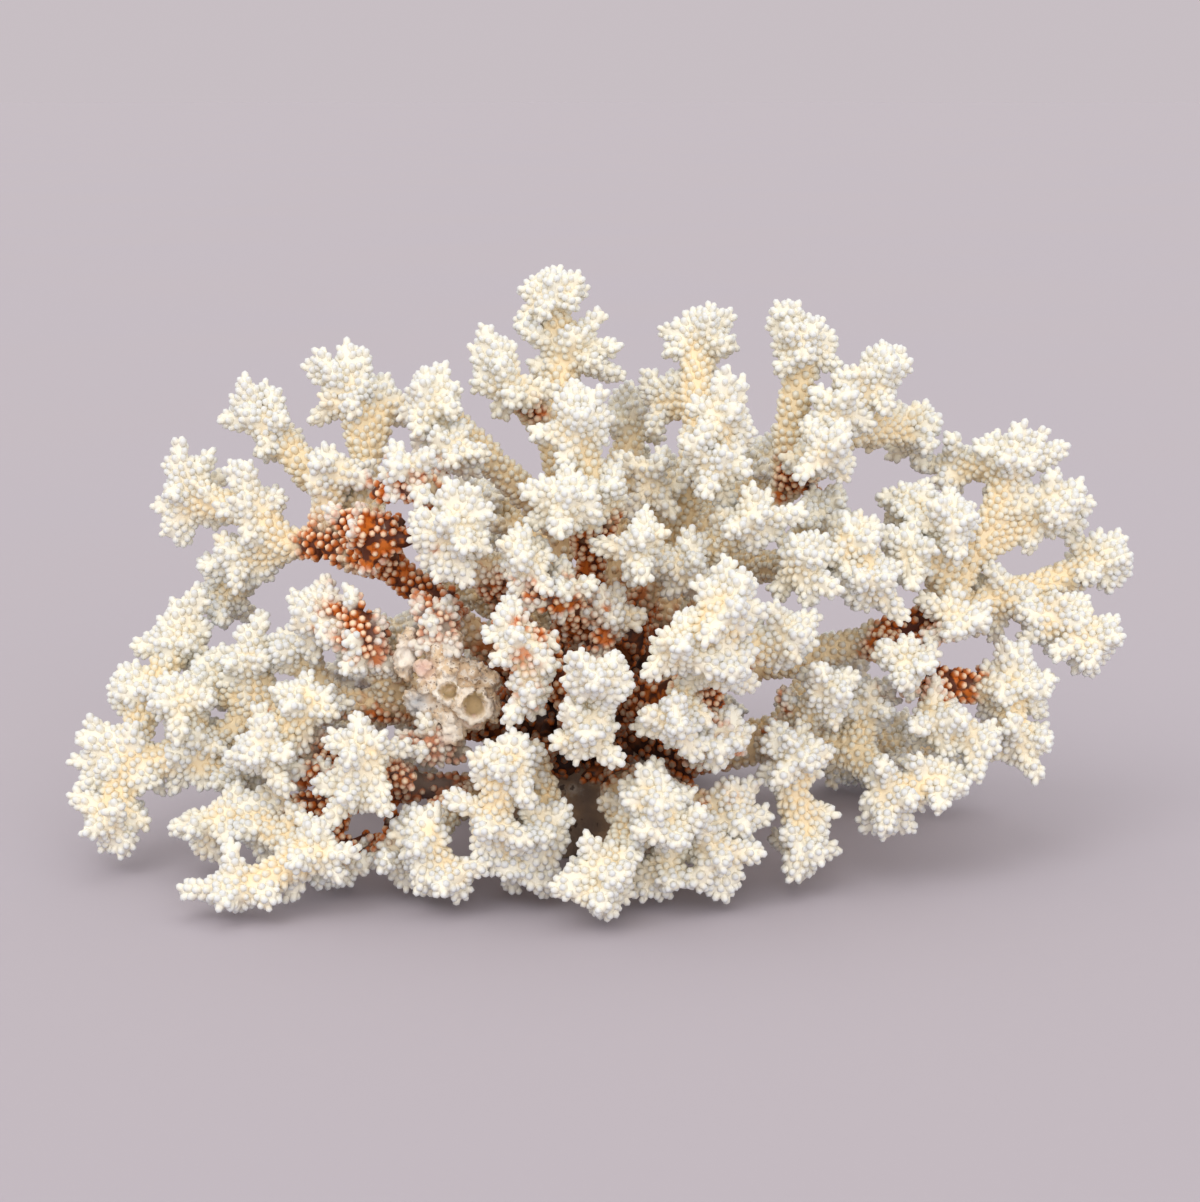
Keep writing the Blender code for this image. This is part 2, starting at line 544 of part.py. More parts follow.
def facet(thing, facet_area):
    """Reduce a skin to broad facets of about the given area in square millimetres."""
    area = sum(face.area for face in thing.data.polygons) / MM ** 2
    triangles = sum(len(face.vertices) - 2 for face in thing.data.polygons)
    coarse = thing.modifiers.new("facets", "DECIMATE")
    coarse.ratio = min(1.0, area / facet_area / triangles)
    settle(thing)


def weld_short_edges(thing):
    """Collapse the slivers that a cut leaves, wherever the skin stays closed."""
    shape = bmesh.new()
    shape.from_mesh(thing.data)
    bmesh.ops.triangulate(shape, faces=shape.faces)
    bmesh.ops.dissolve_degenerate(shape, edges=shape.edges, dist=SMALLEST_EDGE * MM)
    bmesh.ops.triangulate(shape, faces=shape.faces)
    if all(edge.is_manifold for edge in shape.edges):
        shape.to_mesh(thing.data)
    shape.free()


def keep_largest_body(thing):
    """Delete the crumbs that a cut leaves."""
    shape = bmesh.new()
    shape.from_mesh(thing.data)
    unseen = set(shape.verts)
    bodies = []
    while unseen:
        body = {unseen.pop()}
        edge_of_body = list(body)
        while edge_of_body:
            vert = edge_of_body.pop()
            for edge in vert.link_edges:
                other = edge.other_vert(vert)
                if other in unseen:
                    unseen.remove(other)
                    body.add(other)
                    edge_of_body.append(other)
        bodies.append(body)
    bodies.sort(key=len, reverse=True)
    for crumb in bodies[1:]:
        bmesh.ops.delete(shape, geom=list(crumb), context="VERTS")
    shape.to_mesh(thing.data)
    shape.free()


def is_closed(mesh):
    """Whether a mesh has faces and every edge of it joins exactly two of them."""
    shape = bmesh.new()
    shape.from_mesh(mesh)
    closed = len(shape.faces) > 0 and all(edge.is_manifold for edge in shape.edges)
    shape.free()
    return closed


def cut(thing, cutter):
    """Take a closed cutter away from an object, minding folds in the skins of both."""
    whole = thing.data
    for solver in ("EXACT", "MANIFOLD"):
        thing.data = whole
        saw = thing.modifiers.new("saw", "BOOLEAN")
        saw.operation = "DIFFERENCE"
        saw.solver = solver
        saw.use_self = solver == "EXACT"
        saw.object = cutter
        settle(thing)
        if is_closed(thing.data):
            return


def box_of(thing):
    """Lowest and highest corner of an object's mesh."""
    points = [vert.co for vert in thing.data.vertices]
    return [min(p[i] for p in points) for i in range(3)], [max(p[i] for p in points) for i in range(3)]


def boxes_meet(one, other):
    """Whether two boxes overlap, allowing for the gap."""
    return all(one[0][i] < other[1][i] + PIECE_GAP * MM and other[0][i] < one[1][i] + PIECE_GAP * MM
               for i in range(3))


def skin_tree(thing):
    """A search tree over an object's faces."""
    shape = bmesh.new()
    shape.from_mesh(thing.data)
    bmesh.ops.triangulate(shape, faces=shape.faces)
    tree = BVHTree.FromBMesh(shape)
    shape.free()
    return tree


def fattened(thing, gap):
    """A copy of an object, swollen by the gap that pieces keep, in millimetres."""
    copy = thing.copy()
    copy.data = thing.data.copy()
    copy.name = "room_of_" + thing.name
    bpy.context.scene.collection.objects.link(copy)
    swell(copy, gap)
    return copy


def clear_of(piece, neighbour):
    """Cut a piece back further from a neighbour whose skin it still crosses."""
    for gap in WIDER_GAPS:
        if not skin_tree(piece).overlap(skin_tree(neighbour)):
            return
        room = fattened(neighbour, gap)
        cut(piece, room)
        bpy.data.objects.remove(room, do_unlink=True)


def make_room(piece, rooms, finished):
    """Cut a piece back from the pieces that took their room before it."""
    for room in rooms:
        if boxes_meet(box_of(piece), box_of(room)):
            cut(piece, room)
    keep_largest_body(piece)
    weld_short_edges(piece)
    for neighbour in finished:
        if boxes_meet(box_of(piece), box_of(neighbour)):
            clear_of(piece, neighbour)
    keep_largest_body(piece)


def grow_piece(name, twigs):
    """One limb or branch as a faceted solid."""
    shape = bmesh.new()
    for twig in twigs:
        add_twig(shape, twig)
    piece = make_object(name, shape)
    fuse_skin(piece)
    facet(piece, FACET_AREA)
    return piece


def grow_worm_tubes():
    """The crust that worms left in front of the crusted branch, with two open tubes in it."""
    shape = bmesh.new()
    for across, up, depth, radius in CRUST_LUMPS:
        add_bead(shape, place(across, up, depth), radius)
    for mouth in TUBE_MOUTHS:
        add_twig(shape, Twig(mouth.start, mouth.end, mouth.start_radius, mouth.end_radius))
    crust = make_object("worm_tubes", shape)
    fuse_skin(crust)
    facet(crust, CRUST_FACET_AREA)
    for mouth in TUBE_MOUTHS:
        axis = (mouth.end - mouth.start).normalized()
        brim = mouth.end + axis * mouth.end_radius
        floor_of_bore = mouth.end - axis * TUBE_BORE_DEPTH
        drill = bmesh.new()
        run = brim - floor_of_bore
        lie = run.to_track_quat("Z", "Y").to_matrix().to_4x4()
        middle = Matrix.Translation((brim + floor_of_bore) * 0.5 * MM)
        bore_radius = (mouth.end_radius - TUBE_WALL) * MM
        bmesh.ops.create_cone(drill, cap_ends=True, segments=TUBE_BORE_SIDES,
                              radius1=bore_radius * TUBE_BORE_TAPER, radius2=bore_radius,
                              depth=run.length * MM, matrix=middle @ lie)
        bore = make_object("bore", drill)
        cut(crust, bore)
        bpy.data.objects.remove(bore, do_unlink=True)
    return crust


def grow_holdfast():
    """The flat foot, the waist and the heart from which the limbs leave."""
    shape = bmesh.new()
    for index in range(FOOT_LUMPS):
        angle = math.tau * index / FOOT_LUMPS
        middle = Vector(((FOOT_HALF_WIDTH - FOOT_LUMP_RADIUS) * math.cos(angle),
                         (FOOT_HALF_DEPTH - FOOT_LUMP_RADIUS) * math.sin(angle), 0.0))
        top = Vector((middle.x * WAIST_TAPER, middle.y * WAIST_TAPER, WAIST_HEIGHT))
        add_twig(shape, Twig(middle, top, FOOT_LUMP_RADIUS, FOOT_LUMP_RADIUS))
    add_bead(shape, Vector((0.0, 0.0, WAIST_HEIGHT)), WAIST_RADIUS)
    squash = Matrix.Translation(HEART * MM) @ Matrix.Diagonal((*HEART_HALF_SIZES, 1.0 / MM)) * MM
    bmesh.ops.create_icosphere(shape, subdivisions=3, radius=1.0, matrix=squash)
    holdfast = make_object("holdfast", shape)
    fuse_skin(holdfast)
    facet(holdfast, HOLDFAST_FACET_AREA)
    return holdfast


def flatten_foot(thing):
    """Saw the holdfast off at the floor."""
    shape = bmesh.new()
    shape.from_mesh(thing.data)
    whole = list(shape.verts) + list(shape.edges) + list(shape.faces)
    sawn = bmesh.ops.bisect_plane(shape, geom=whole, plane_co=(0, 0, 0), plane_no=(0, 0, -1),
                                  clear_outer=True)
    rim = [item for item in sawn["geom_cut"] if isinstance(item, bmesh.types.BMEdge)]
    bmesh.ops.contextual_create(shape, geom=rim)
    shape.to_mesh(thing.data)
    shape.free()


def colour(name, rgba, roughness):
    """A plain matt finish."""
    finish = bpy.data.materials.new(name)
    finish.use_nodes = True
    shader = finish.node_tree.nodes["Principled BSDF"]
    shader.inputs["Base Color"].default_value = rgba
    shader.inputs["Roughness"].default_value = roughness
    shader.inputs["Metallic"].default_value = 0.0
    return finish


def clear_scene():
    """Remove whatever the scene holds."""
    for thing in list(bpy.data.objects):
        bpy.data.objects.remove(thing, do_unlink=True)


def build_coral():
    """Grow the holdfast and every piece, each cut back from those that took their room before."""
    clear_scene()
    holdfast = grow_holdfast()
    flatten_foot(holdfast)
    keep_largest_body(holdfast)
    holdfast.data.materials.append(colour("holdfast", STONE, STONE_ROUGHNESS))

    twigs = near_twigs()
    order = [(name, twigs[name]) for name in PIECE_ORDER]
    dice = random.Random(FAR_SEED)
    for name, sources, added_turn in FAR_PIECES:
        near = [twig for source in sources for twig in twigs[source]]
        order.append((name, turned_twigs(near, FAR_TURN + math.radians(added_turn), dice)))

    finished = [holdfast]
    rooms = [fattened(holdfast, PIECE_GAP)]
    for name, its_twigs in order:
        piece = grow_piece(name, its_twigs)
        room_of_piece = fattened(piece, PIECE_GAP)
        make_room(piece, rooms, finished)
        piece.data.materials.append(colour(name, BLEACHED, BLEACHED_ROUGHNESS))
        finished.append(piece)
        rooms.append(room_of_piece)
    crust = grow_worm_tubes()
    make_room(crust, rooms, finished)
    crust.data.materials.append(colour("worm_tubes", CRUST, CRUST_ROUGHNESS))

    for room in rooms:
        bpy.data.objects.remove(room, do_unlink=True)


build_coral()
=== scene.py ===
"""Brownstem coral: a dried branching colony covered with knobs, standing on a pale floor.

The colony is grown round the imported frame, one piece of mesh for each limb. The skeleton is the one
that the solids follow: limbs leave a heart, and each carries sprays, short stems whose ends spread
into blunt lobes. Here every stem and lobe becomes a slim core, and knobs stand all over the cores.
Lengths are in metres in the frame, and in millimetres in the skeleton.
"""
import logging
import math
import random
from dataclasses import dataclass
from enum import Enum

import bpy
import numpy as np
from mathutils import Matrix, Vector


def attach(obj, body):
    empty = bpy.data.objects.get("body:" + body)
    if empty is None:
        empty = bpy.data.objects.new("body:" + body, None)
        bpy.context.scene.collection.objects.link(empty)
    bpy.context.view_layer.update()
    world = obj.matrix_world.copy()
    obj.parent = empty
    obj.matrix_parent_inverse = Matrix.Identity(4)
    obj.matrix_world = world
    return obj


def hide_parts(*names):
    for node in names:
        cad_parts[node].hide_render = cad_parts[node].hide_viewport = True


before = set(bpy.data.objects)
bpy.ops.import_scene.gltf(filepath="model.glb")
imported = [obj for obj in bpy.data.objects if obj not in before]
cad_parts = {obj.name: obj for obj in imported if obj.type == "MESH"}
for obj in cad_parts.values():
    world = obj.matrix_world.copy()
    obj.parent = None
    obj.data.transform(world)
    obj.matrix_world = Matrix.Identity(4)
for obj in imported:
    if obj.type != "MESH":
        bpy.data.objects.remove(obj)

LOG = logging.getLogger("coral")
MM = 0.001
BODY = "root"
# Keeps a finger of no length from a division by zero
SMALLEST_SQUARE = 1e-6
# How near the floor a knob may reach, in millimetres
LOWEST_KNOB = 0.3

Colour = tuple[float, float, float]
Span = tuple[float, float]


class Slot(Enum):
    """The record's material slots."""

    BLEACHED = "bleached_coral"
    STONE = "base_stone"
    CRUST = "worm_crust"


class Growth(Enum):
    """What a twig of the skeleton is."""

    STEM = "stem"
    LOBE = "lobe"
    BUD = "bud"


@dataclass(frozen=True)
class DrawingSheet:
    """The sheet across the line of sight on which the skeleton is written, in millimetres.

    Its middle stands aim_height over the floor, and is written as aim_up there.
    """

    tilt: float = math.radians(11.0)
    reach: float = 800.0
    aim_height: float = 72.0
    aim_up: float = 81.0

    def eye(self) -> Vector:
        """Where the eye stands."""
        return Vector((0.0, -self.reach * math.cos(self.tilt),
                       self.aim_height + self.reach * math.sin(self.tilt)))

    def place(self, across: float, up: float, depth: float) -> Vector:
        """Carry a point of the sheet along the line of sight to its depth.

        Args:
            across: Distance to the right of the sheet's middle.
            up: Height on the sheet.
            depth: The point's Y in the frame.

        Returns:
            The point in the frame.
        """
        eye = self.eye()
        rise = up - self.aim_up
        mark = Vector((across, rise * math.sin(self.tilt), self.aim_height + rise * math.cos(self.tilt)))
        return eye + (mark - eye) * ((depth - eye.y) / (mark.y - eye.y))


@dataclass(frozen=True)
class Spray:
    """A stem's end: what it grows from, its centre on the sheet, and the tips it spreads into."""

    name: str
    grows_from: str
    centre: tuple[float, float, float]
    tips: tuple[tuple[float, float], ...] = ()


@dataclass(frozen=True)
class Twig:
    """One straight run of the skeleton, with the radii of the solid that stands for it."""

    start: Vector
    end: Vector
    start_radius: float
    end_radius: float
    growth: Growth


@dataclass(frozen=True)
class Finger:
    """One tapered run of a core, with its age from 0 on old stems to 1 at young tips."""

    start: Vector
    end: Vector
    start_radius: float
    end_radius: float
    start_youth: float
    end_youth: float
    bow: Vector


SHEET = DrawingSheet()
# The point from which all limbs leave
HEART = SHEET.place(-8.0, 42.0, 0.0)

# Near pieces, each with its sprays in millimetres: name, root, centre on the sheet with its depth, and tips
NEAR_PIECES: dict[str, tuple[Spray, ...]] = {
    "limb_upper_left": (
        Spray("ul_a", "heart", (-28, 62, -22)),
        Spray("ul_b", "ul_a", (-48, 80, -30)),
        Spray("ul_c", "ul_b", (-64, 93, -28)),
        Spray("ul_d", "ul_c", (-82, 98, -18)),
        Spray("ul_low", "ul_c", (-69, 99, -40),
              ((-84, 111), (-77, 98), (-70, 87), (-62, 93), (-64, 109), (-73, 112))),
        Spray("ul_mid", "ul_d", (-80, 118, -14), ((-83, 130), (-76, 126), (-87, 111))),
    ),
    "branch_upper_left_outer": (
        Spray("uo_a", "ul_d", (-94, 98, -10)),
        Spray("uo_low", "uo_a", (-106, 94, -5),
              ((-122, 91), (-118, 86), (-106, 83), (-97, 87), (-112, 98))),
        Spray("uo_under", "uo_low", (-112, 82, 6), ((-119, 76), (-112, 72), (-104, 78))),
        Spray("uo_mid", "uo_a", (-102, 108, -8), ((-112, 124), (-107, 125), (-93, 114))),
        Spray("uo_top", "uo_mid", (-122, 111, 5),
              ((-127, 132), (-131, 126), (-116, 128), (-136, 109), (-132, 99), (-126, 96))),
    ),
    "branch_upper_left_inner": (
        Spray("ui_a", "ul_c", (-70, 110, -10)),
        Spray("ui_b", "ui_a", (-70, 126, 0)),
        Spray("ui_top", "ui_b", (-76, 144, 4),
              ((-76, 161), (-69, 158), (-86, 158), (-90, 153), (-84, 144))),
        Spray("ui_right", "ui_b", (-66, 140, 8), ((-64, 151), (-60, 145), (-61, 136))),
        Spray("ui_c", "ui_a", (-86, 118, 3)),
        Spray("ui_left", "ui_c", (-100, 133, 8),
              ((-108, 150), (-101, 149), (-96, 146), (-116, 137), (-112, 144), (-99, 124))),
    ),
    "limb_left": (
        Spray("le_a", "heart", (-36, 44, -28)),
        Spray("le_b", "le_a", (-60, 50, -34)),
        Spray("le_c", "le_b", (-81, 51, -32)),
        Spray("le_d", "le_c", (-102, 50, -26)),
        Spray("shelf_right", "le_b", (-70, 69, -50),
              ((-76, 88), (-63, 70), (-61, 59), (-72, 57), (-80, 64), (-66, 80))),
        Spray("shelf_left", "shelf_right", (-84, 77, -44),
              ((-94, 80), (-88, 86), (-79, 86), (-91, 71))),
        Spray("shelf_mid", "le_c", (-90, 66, -34), ((-98, 72), (-92, 77), (-83, 64), (-97, 60))),
        Spray("shelf_end", "le_d", (-116, 58, -18), ((-122, 66), (-124, 52), (-112, 70))),
        Spray("shelf_far", "le_d", (-104, 62, -26),
              ((-101, 80), (-108, 75), (-115, 55), (-106, 46), (-96, 68))),
    ),
    "branch_left_sweep": (
        Spray("sw_a", "le_d", (-121, 36, -30), ((-130, 22), (-118, 22), (-111, 29))),
        Spray("sw_mid", "sw_a", (-141, 33, -30),
              ((-155, 48), (-159, 41), (-161, 33), (-158, 24), (-153, 19), (-147, 46))),
        Spray("sw_low", "sw_mid", (-146, 15, -42),
              ((-152, 9), (-149, 5), (-142, 2), (-138, 6), (-137, 15))),
        Spray("sw_high", "sw_mid", (-135, 54, -20),
              ((-142, 64), (-147, 61), (-149, 55), (-147, 48))),
        Spray("sw_top", "sw_high", (-125, 69, -12),
              ((-120, 88), (-127, 84), (-133, 78), (-137, 71), (-142, 66), (-115, 75))),
        Spray("sw_web", "sw_a", (-126, 51, -34), ((-131, 61), (-121, 60), (-134, 47), (-118, 46))),
        Spray("sw_under", "sw_a", (-108, 29, -32), ((-98, 25), (-112, 20), (-95, 33), (-103, 20))),
    ),
    "branch_left_elbow": (
        Spray("el_top", "le_c", (-88, 50, -56), ((-88, 62), (-94, 57), (-96, 50), (-82, 44), (-79, 55))),
        Spray("el_arm", "el_top", (-99, 36, -60),
              ((-114, 34), (-109, 40), (-109, 30), (-101, 28), (-91, 32))),
    ),
    "limb_lower_left": (
        Spray("ll_a", "heart", (-36, 24, -38)),
        Spray("ll_b", "ll_a", (-57, 26, -46)),
        Spray("ll_c", "ll_b", (-80, 21, -52)),
        Spray("slim_top", "ll_b", (-71, 36, -74), ((-72, 49), (-78, 43), (-63, 42), (-76, 37))),
        Spray("slim_low", "slim_top", (-72, 25, -72), ((-88, 26), (-70, 16), (-65, 27), (-77, 18))),
        Spray("ll_rust", "ll_b", (-86, 33, -50), ((-94, 28), (-83, 26))),
        Spray("ll_under", "ll_c", (-80, -1, -64), ((-75, -8), (-84, -7))),
    ),
    "branch_lower_left": (
        Spray("bl_a", "ll_c", (-101, 15, -53), ((-108, 7), (-96, 23), (-107, 24))),
        Spray("bl_tip", "bl_a", (-116, 15, -51), ((-131, 12), (-124, 8), (-117, 22))),
        Spray("bl_star", "bl_a", (-86, 6, -80),
              ((-86, 17), (-70, 6), (-75, -4), (-97, 2), (-94, -14), (-80, 14))),
        Spray("bl_foot", "bl_star", (-108, -5, -86),
              ((-128, -6), (-117, -1), (-116, -14), (-108, -15), (-100, -9))),
    ),
    "limb_front_left": (
        Spray("fl_a", "heart", (-21, 34, -50)),
        Spray("fl_top", "fl_a", (-28, 32, -84),
              ((-23, 44), (-32, 41), (-38, 37), (-18, 37), (-19, 28), (-40, 28), (-38, 24))),
        Spray("fl_low", "fl_top", (-33, 15, -82), ((-36, 9), (-27, 18), (-31, -2), (-37, 2))),
        Spray("fl_back", "fl_low", (-26, 4, -72), ((-26, -10), (-23, -4))),
        Spray("fl_right", "fl_a", (-16, 13, -78),
              ((-8, 22), (-7, 17), (-21, 8), (-21, 0), (-10, 5), (-16, -10))),
    ),
    "branch_front_left_low": (
        Spray("fb_a", "ll_a", (-46, 18, -60)),
        Spray("fb_mid", "fb_a", (-52, 10, -78), ((-56, 21), (-48, 22), (-43, 12), (-60, 3), (-60, 14))),
        Spray("fb_right", "fb_mid", (-45, -1, -80), ((-38, -10), (-46, -8), (-50, -7))),
        Spray("fb_left", "fb_a", (-61, 6, -68), ((-66, 11), (-67, 2), (-60, -4), (-56, -8))),
    ),
    "limb_front": (
        Spray("fr_a", "heart", (-4, 46, -50)),
        Spray("fr_star", "fr_a", (-1, 57, -90),
              ((-10, 66), (-13, 58), (-8, 51), (8, 66), (12, 57), (8, 50))),
        Spray("fr_low", "fr_a", (-4, 42, -84), ((-11, 44), (-14, 36), (-8, 31), (3, 39), (7, 44))),
        Spray("fr_left", "fr_a", (-24, 70, -74),
              ((-32, 80), (-37, 72), (-20, 77), (-11, 67), (-31, 62))),
        Spray("fr_under", "fr_left", (-20, 54, -76), ((-22, 44), (-15, 50), (-29, 57), (-14, 60))),
    ),
    "limb_centre_left": (
        Spray("cl_a", "heart", (-18, 66, -28)),
        Spray("cl_b", "cl_a", (-32, 87, -42)),
        Spray("cl_fan", "cl_b", (-44, 102, -60),
              ((-59, 107), (-59, 99), (-55, 91), (-49, 84), (-39, 83), (-45, 120), (-37, 118),
               (-30, 110))),
        Spray("cl_right", "cl_b", (-22, 92, -62),
              ((-28, 103), (-31, 90), (-26, 80), (-16, 86), (-12, 96))),
        Spray("cl_c", "cl_b", (-46, 106, -44)),
        Spray("cl_top", "cl_c", (-58, 118, -48), ((-68, 120), (-62, 129), (-49, 125), (-65, 110))),
    ),
    "limb_centre": (
        Spray("ce_a", "heart", (-3, 69, -28)),
        Spray("ce_b", "ce_a", (-3, 98, -36)),
        Spray("ce_star", "ce_b", (-10, 110, -58),
              ((-26, 115), (-20, 119), (-5, 120), (1, 114), (2, 106), (-7, 100))),
        Spray("ce_c", "ce_b", (-5, 116, -38)),
        Spray("ce_top", "ce_c", (-6, 132, -42), ((-8, 149), (-13, 145), (2, 147), (5, 138), (4, 128))),
        Spray("ce_side", "ce_b", (3, 112, -42), ((5, 123), (4, 106), (9, 113))),
        Spray("ce_low", "ce_a", (-11, 82, -58), ((-16, 78), (-11, 73), (-6, 80), (-15, 89))),
        Spray("ce_bud", "ce_a", (3, 74, -48), ((-4, 73), (4, 68), (9, 73))),
    ),
    "limb_top": (
        Spray("to_a", "heart", (-9, 75, 2)),
        Spray("to_b", "to_a", (-12, 105, 0)),
        Spray("to_c", "to_b", (-15, 132, 0)),
        Spray("to_mid", "to_c", (-9, 155, 6), ((-26, 164), (2, 170), (8, 158), (9, 147))),
        Spray("to_tip", "to_mid", (-14, 171, 10),
              ((-26, 175), (-20, 181), (-12, 183), (-4, 180), (-2, 175))),
        Spray("to_left", "to_c", (-28, 146, -12),
              ((-36, 166), (-40, 159), (-38, 152), (-28, 162), (-41, 146), (-30, 133))),
        Spray("to_d", "to_b", (-34, 124, -12)),
        Spray("to_low", "to_d", (-46, 126, -26), ((-58, 130), (-38, 136), (-54, 120), (-34, 118))),
        Spray("to_far", "to_d", (-51, 140, -20),
              ((-46, 154), (-52, 153), (-59, 146), (-62, 135), (-40, 147), (-44, 131))),
    ),
    "limb_upper_right": (
        Spray("ur_a", "heart", (8, 66, -2)),
        Spray("ur_b", "ur_a", (20, 93, -2)),
        Spray("ur_c", "ur_b", (28, 120, -5)),
        Spray("ur_d", "ur_c", (29, 140, 5)),
        Spray("ur_top", "ur_d", (30, 159, 12),
              ((16, 163), (20, 165), (26, 170), (35, 172), (41, 169), (43, 158), (17, 154))),
        Spray("ur_back", "ur_d", (20, 141, 18), ((12, 152), (11, 143), (14, 132))),
        Spray("ur_front", "ur_c", (37, 135, -38),
              ((38, 153), (44, 150), (25, 140), (46, 137), (48, 130))),
        Spray("ur_low", "ur_front", (34, 121, -42), ((23, 124), (29, 111), (48, 121))),
        Spray("ur_bud", "ur_b", (16, 117, -14), ((18, 124), (12, 115))),
    ),
    "branch_centre_right": (
        Spray("cr_a", "ur_b", (22, 92, -28)),
        Spray("cr_left", "cr_a", (11, 97, -60),
              ((16, 106), (20, 102), (8, 104), (4, 98), (18, 93), (10, 84))),
        Spray("cr_mid", "cr_a", (26, 90, -44), ((27, 105), (31, 98), (18, 81))),
        Spray("cr_right", "cr_a", (45, 104, -46), ((38, 109), (64, 109), (48, 94), (56, 100))),
    ),
    "limb_right_upper": (
        Spray("ru_a", "heart", (18, 63, 6)),
        Spray("ru_b", "ru_a", (39, 90, 8)),
        Spray("ru_c", "ru_b", (57, 117, 2)),
        Spray("ru_d", "ru_c", (58, 140, -2)),
        Spray("ru_top", "ru_d", (60, 158, -2),
              ((57, 173), (52, 172), (49, 166), (68, 167), (73, 160), (74, 148), (50, 156))),
        Spray("ru_e", "ru_c", (74, 132, -4)),
        Spray("ru_side", "ru_e", (82, 147, -5), ((80, 158), (86, 160), (92, 158), (95, 153), (90, 142))),
        Spray("ru_far", "ru_e", (94, 131, 14), ((99, 142), (103, 135), (100, 126), (98, 118))),
        Spray("ru_mid", "ru_c", (70, 138, -14), ((62, 147), (79, 144), (84, 133), (60, 133))),
        Spray("ru_front", "ru_c", (68, 126, -36),
              ((64, 134), (75, 130), (61, 123), (65, 118), (74, 120))),
    ),
    "branch_right_inner": (
        Spray("ri_a", "ru_b", (58, 90, -20)),
        Spray("ri_left", "ri_a", (60, 92, -50),
              ((58, 103), (63, 103), (53, 97), (56, 88), (64, 84), (63, 77))),
        Spray("ri_top", "ri_a", (76, 98, -40), ((73, 109), (79, 103))),
        Spray("ri_low", "ri_top", (81, 86, -44), ((89, 88), (77, 76), (72, 81), (87, 95), (70, 91))),
        Spray("ri_back", "ri_a", (66, 108, -16), ((62, 116), (72, 114), (58, 106))),
    ),
    "limb_right": (
        Spray("rt_a", "heart", (30, 57, -8)),
        Spray("rt_b", "rt_a", (57, 63, -14)),
        Spray("rt_c", "rt_b", (81, 69, -20)),
        Spray("rt_d", "rt_c", (99, 75, -18)),
        Spray("rt_front", "rt_c", (92, 62, -46), ((94, 73), (97, 66), (83, 62), (92, 52), (97, 56))),
        Spray("rt_bud", "rt_d", (108, 75, -36), ((112, 81), (115, 75), (110, 69))),
        Spray("rt_e", "rt_d", (102, 90, -22)),
        Spray("rt_high", "rt_e", (104, 104, -26),
              ((104, 117), (110, 113), (115, 106), (112, 98), (98, 98))),
        Spray("rt_back", "rt_high", (92, 110, -14), ((90, 118), (97, 116), (86, 108), (81, 113))),
        Spray("rt_wide", "rt_e", (93, 95, -28), ((83, 104), (83, 93), (89, 84), (99, 86), (90, 105))),
    ),
    "branch_right_fan": (
        Spray("fan_a", "rt_d", (112, 95, -4)),
        Spray("fan_high", "fan_a", (122, 120, 0),
              ((111, 130), (117, 134), (127, 137), (135, 134), (142, 128))),
        Spray("fan_low", "fan_a", (135, 109, 0),
              ((147, 118), (150, 111), (146, 102), (136, 98), (126, 94))),
        Spray("fan_back", "fan_high", (107, 121, 14), ((105, 128), (110, 129))),
    ),
    "branch_right_arms": (
        Spray("arm_a", "rt_d", (121, 82, -6), ((122, 88), (118, 83), (116, 94))),
        Spray("arm_b", "arm_a", (138, 88, 2)),
        Spray("arm_high", "arm_b", (149, 93, 3),
              ((149, 104), (158, 103), (161, 95), (160, 87), (154, 82))),
        Spray("arm_mid", "arm_a", (136, 75, -14), ((147, 84), (135, 64))),
        Spray("arm_low", "arm_mid", (147, 70, -18),
              ((157, 77), (157, 70), (154, 64), (148, 57), (141, 58))),
    ),
    "branch_right_elbow": (
        Spray("re_a", "rt_c", (100, 57, -26)),
        Spray("re_top", "re_a", (122, 55, -26),
              ((121, 72), (128, 70), (131, 64), (139, 59), (137, 54), (135, 46), (113, 63))),
        Spray("re_low", "re_top", (126, 40, -32), ((134, 40), (129, 33), (123, 30), (118, 38))),
        Spray("re_front", "re_a", (99, 46, -42), ((94, 51), (94, 40), (104, 50))),
        Spray("re_end", "re_front", (111, 40, -44), ((118, 34), (114, 32), (117, 44), (106, 35))),
    ),
    "limb_right_low": (
        Spray("rl_a", "heart", (24, 34, -18)),
        Spray("rl_b", "rl_a", (51, 38, -28)),
        Spray("rl_c", "rl_b", (75, 36, -36)),
        Spray("rl_high", "rl_c", (80, 49, -32), ((77, 60), (90, 52), (88, 42))),
        Spray("rl_side", "rl_c", (87, 24, -52),
              ((78, 10), (85, 8), (94, 10), (99, 19), (76, 18), (80, 32))),
        Spray("rl_end", "rl_side", (102, 28, -50), ((112, 27), (110, 22), (104, 36))),
        Spray("rl_star", "rl_b", (68, 54, -58),
              ((70, 62), (75, 57), (76, 50), (68, 46), (61, 50), (60, 56))),
        Spray("rl_tall", "rl_b", (58, 34, -62),
              ((50, 47), (47, 40), (46, 27), (52, 22), (68, 39), (68, 28))),
        Spray("rl_foot", "rl_tall", (61, 8, -62), ((54, 2), (60, -5), (68, 4), (54, 16), (69, 16))),
    ),
    "limb_front_right": (
        Spray("fx_a", "heart", (12, 50, -34)),
        Spray("fx_b", "fx_a", (30, 60, -56)),
        Spray("fx_top", "fx_b", (38, 78, -84), ((38, 97), (44, 92), (27, 89), (52, 78), (47, 70))),
        Spray("fx_low", "fx_top", (37, 60, -84), ((47, 64), (44, 57), (39, 52), (33, 56))),
        Spray("fx_left", "fx_top", (23, 67, -86), ((13, 69), (17, 73), (22, 58), (28, 58), (26, 80))),
        Spray("fx_round", "fx_b", (22, 44, -86), ((16, 50), (25, 51), (15, 43), (20, 37), (29, 44))),
        Spray("fx_under", "fx_b", (34, 38, -74),
              ((41, 51), (29, 45), (28, 34), (34, 28), (40, 32), (42, 39))),
        Spray("fx_side", "fx_b", (56, 70, -60),
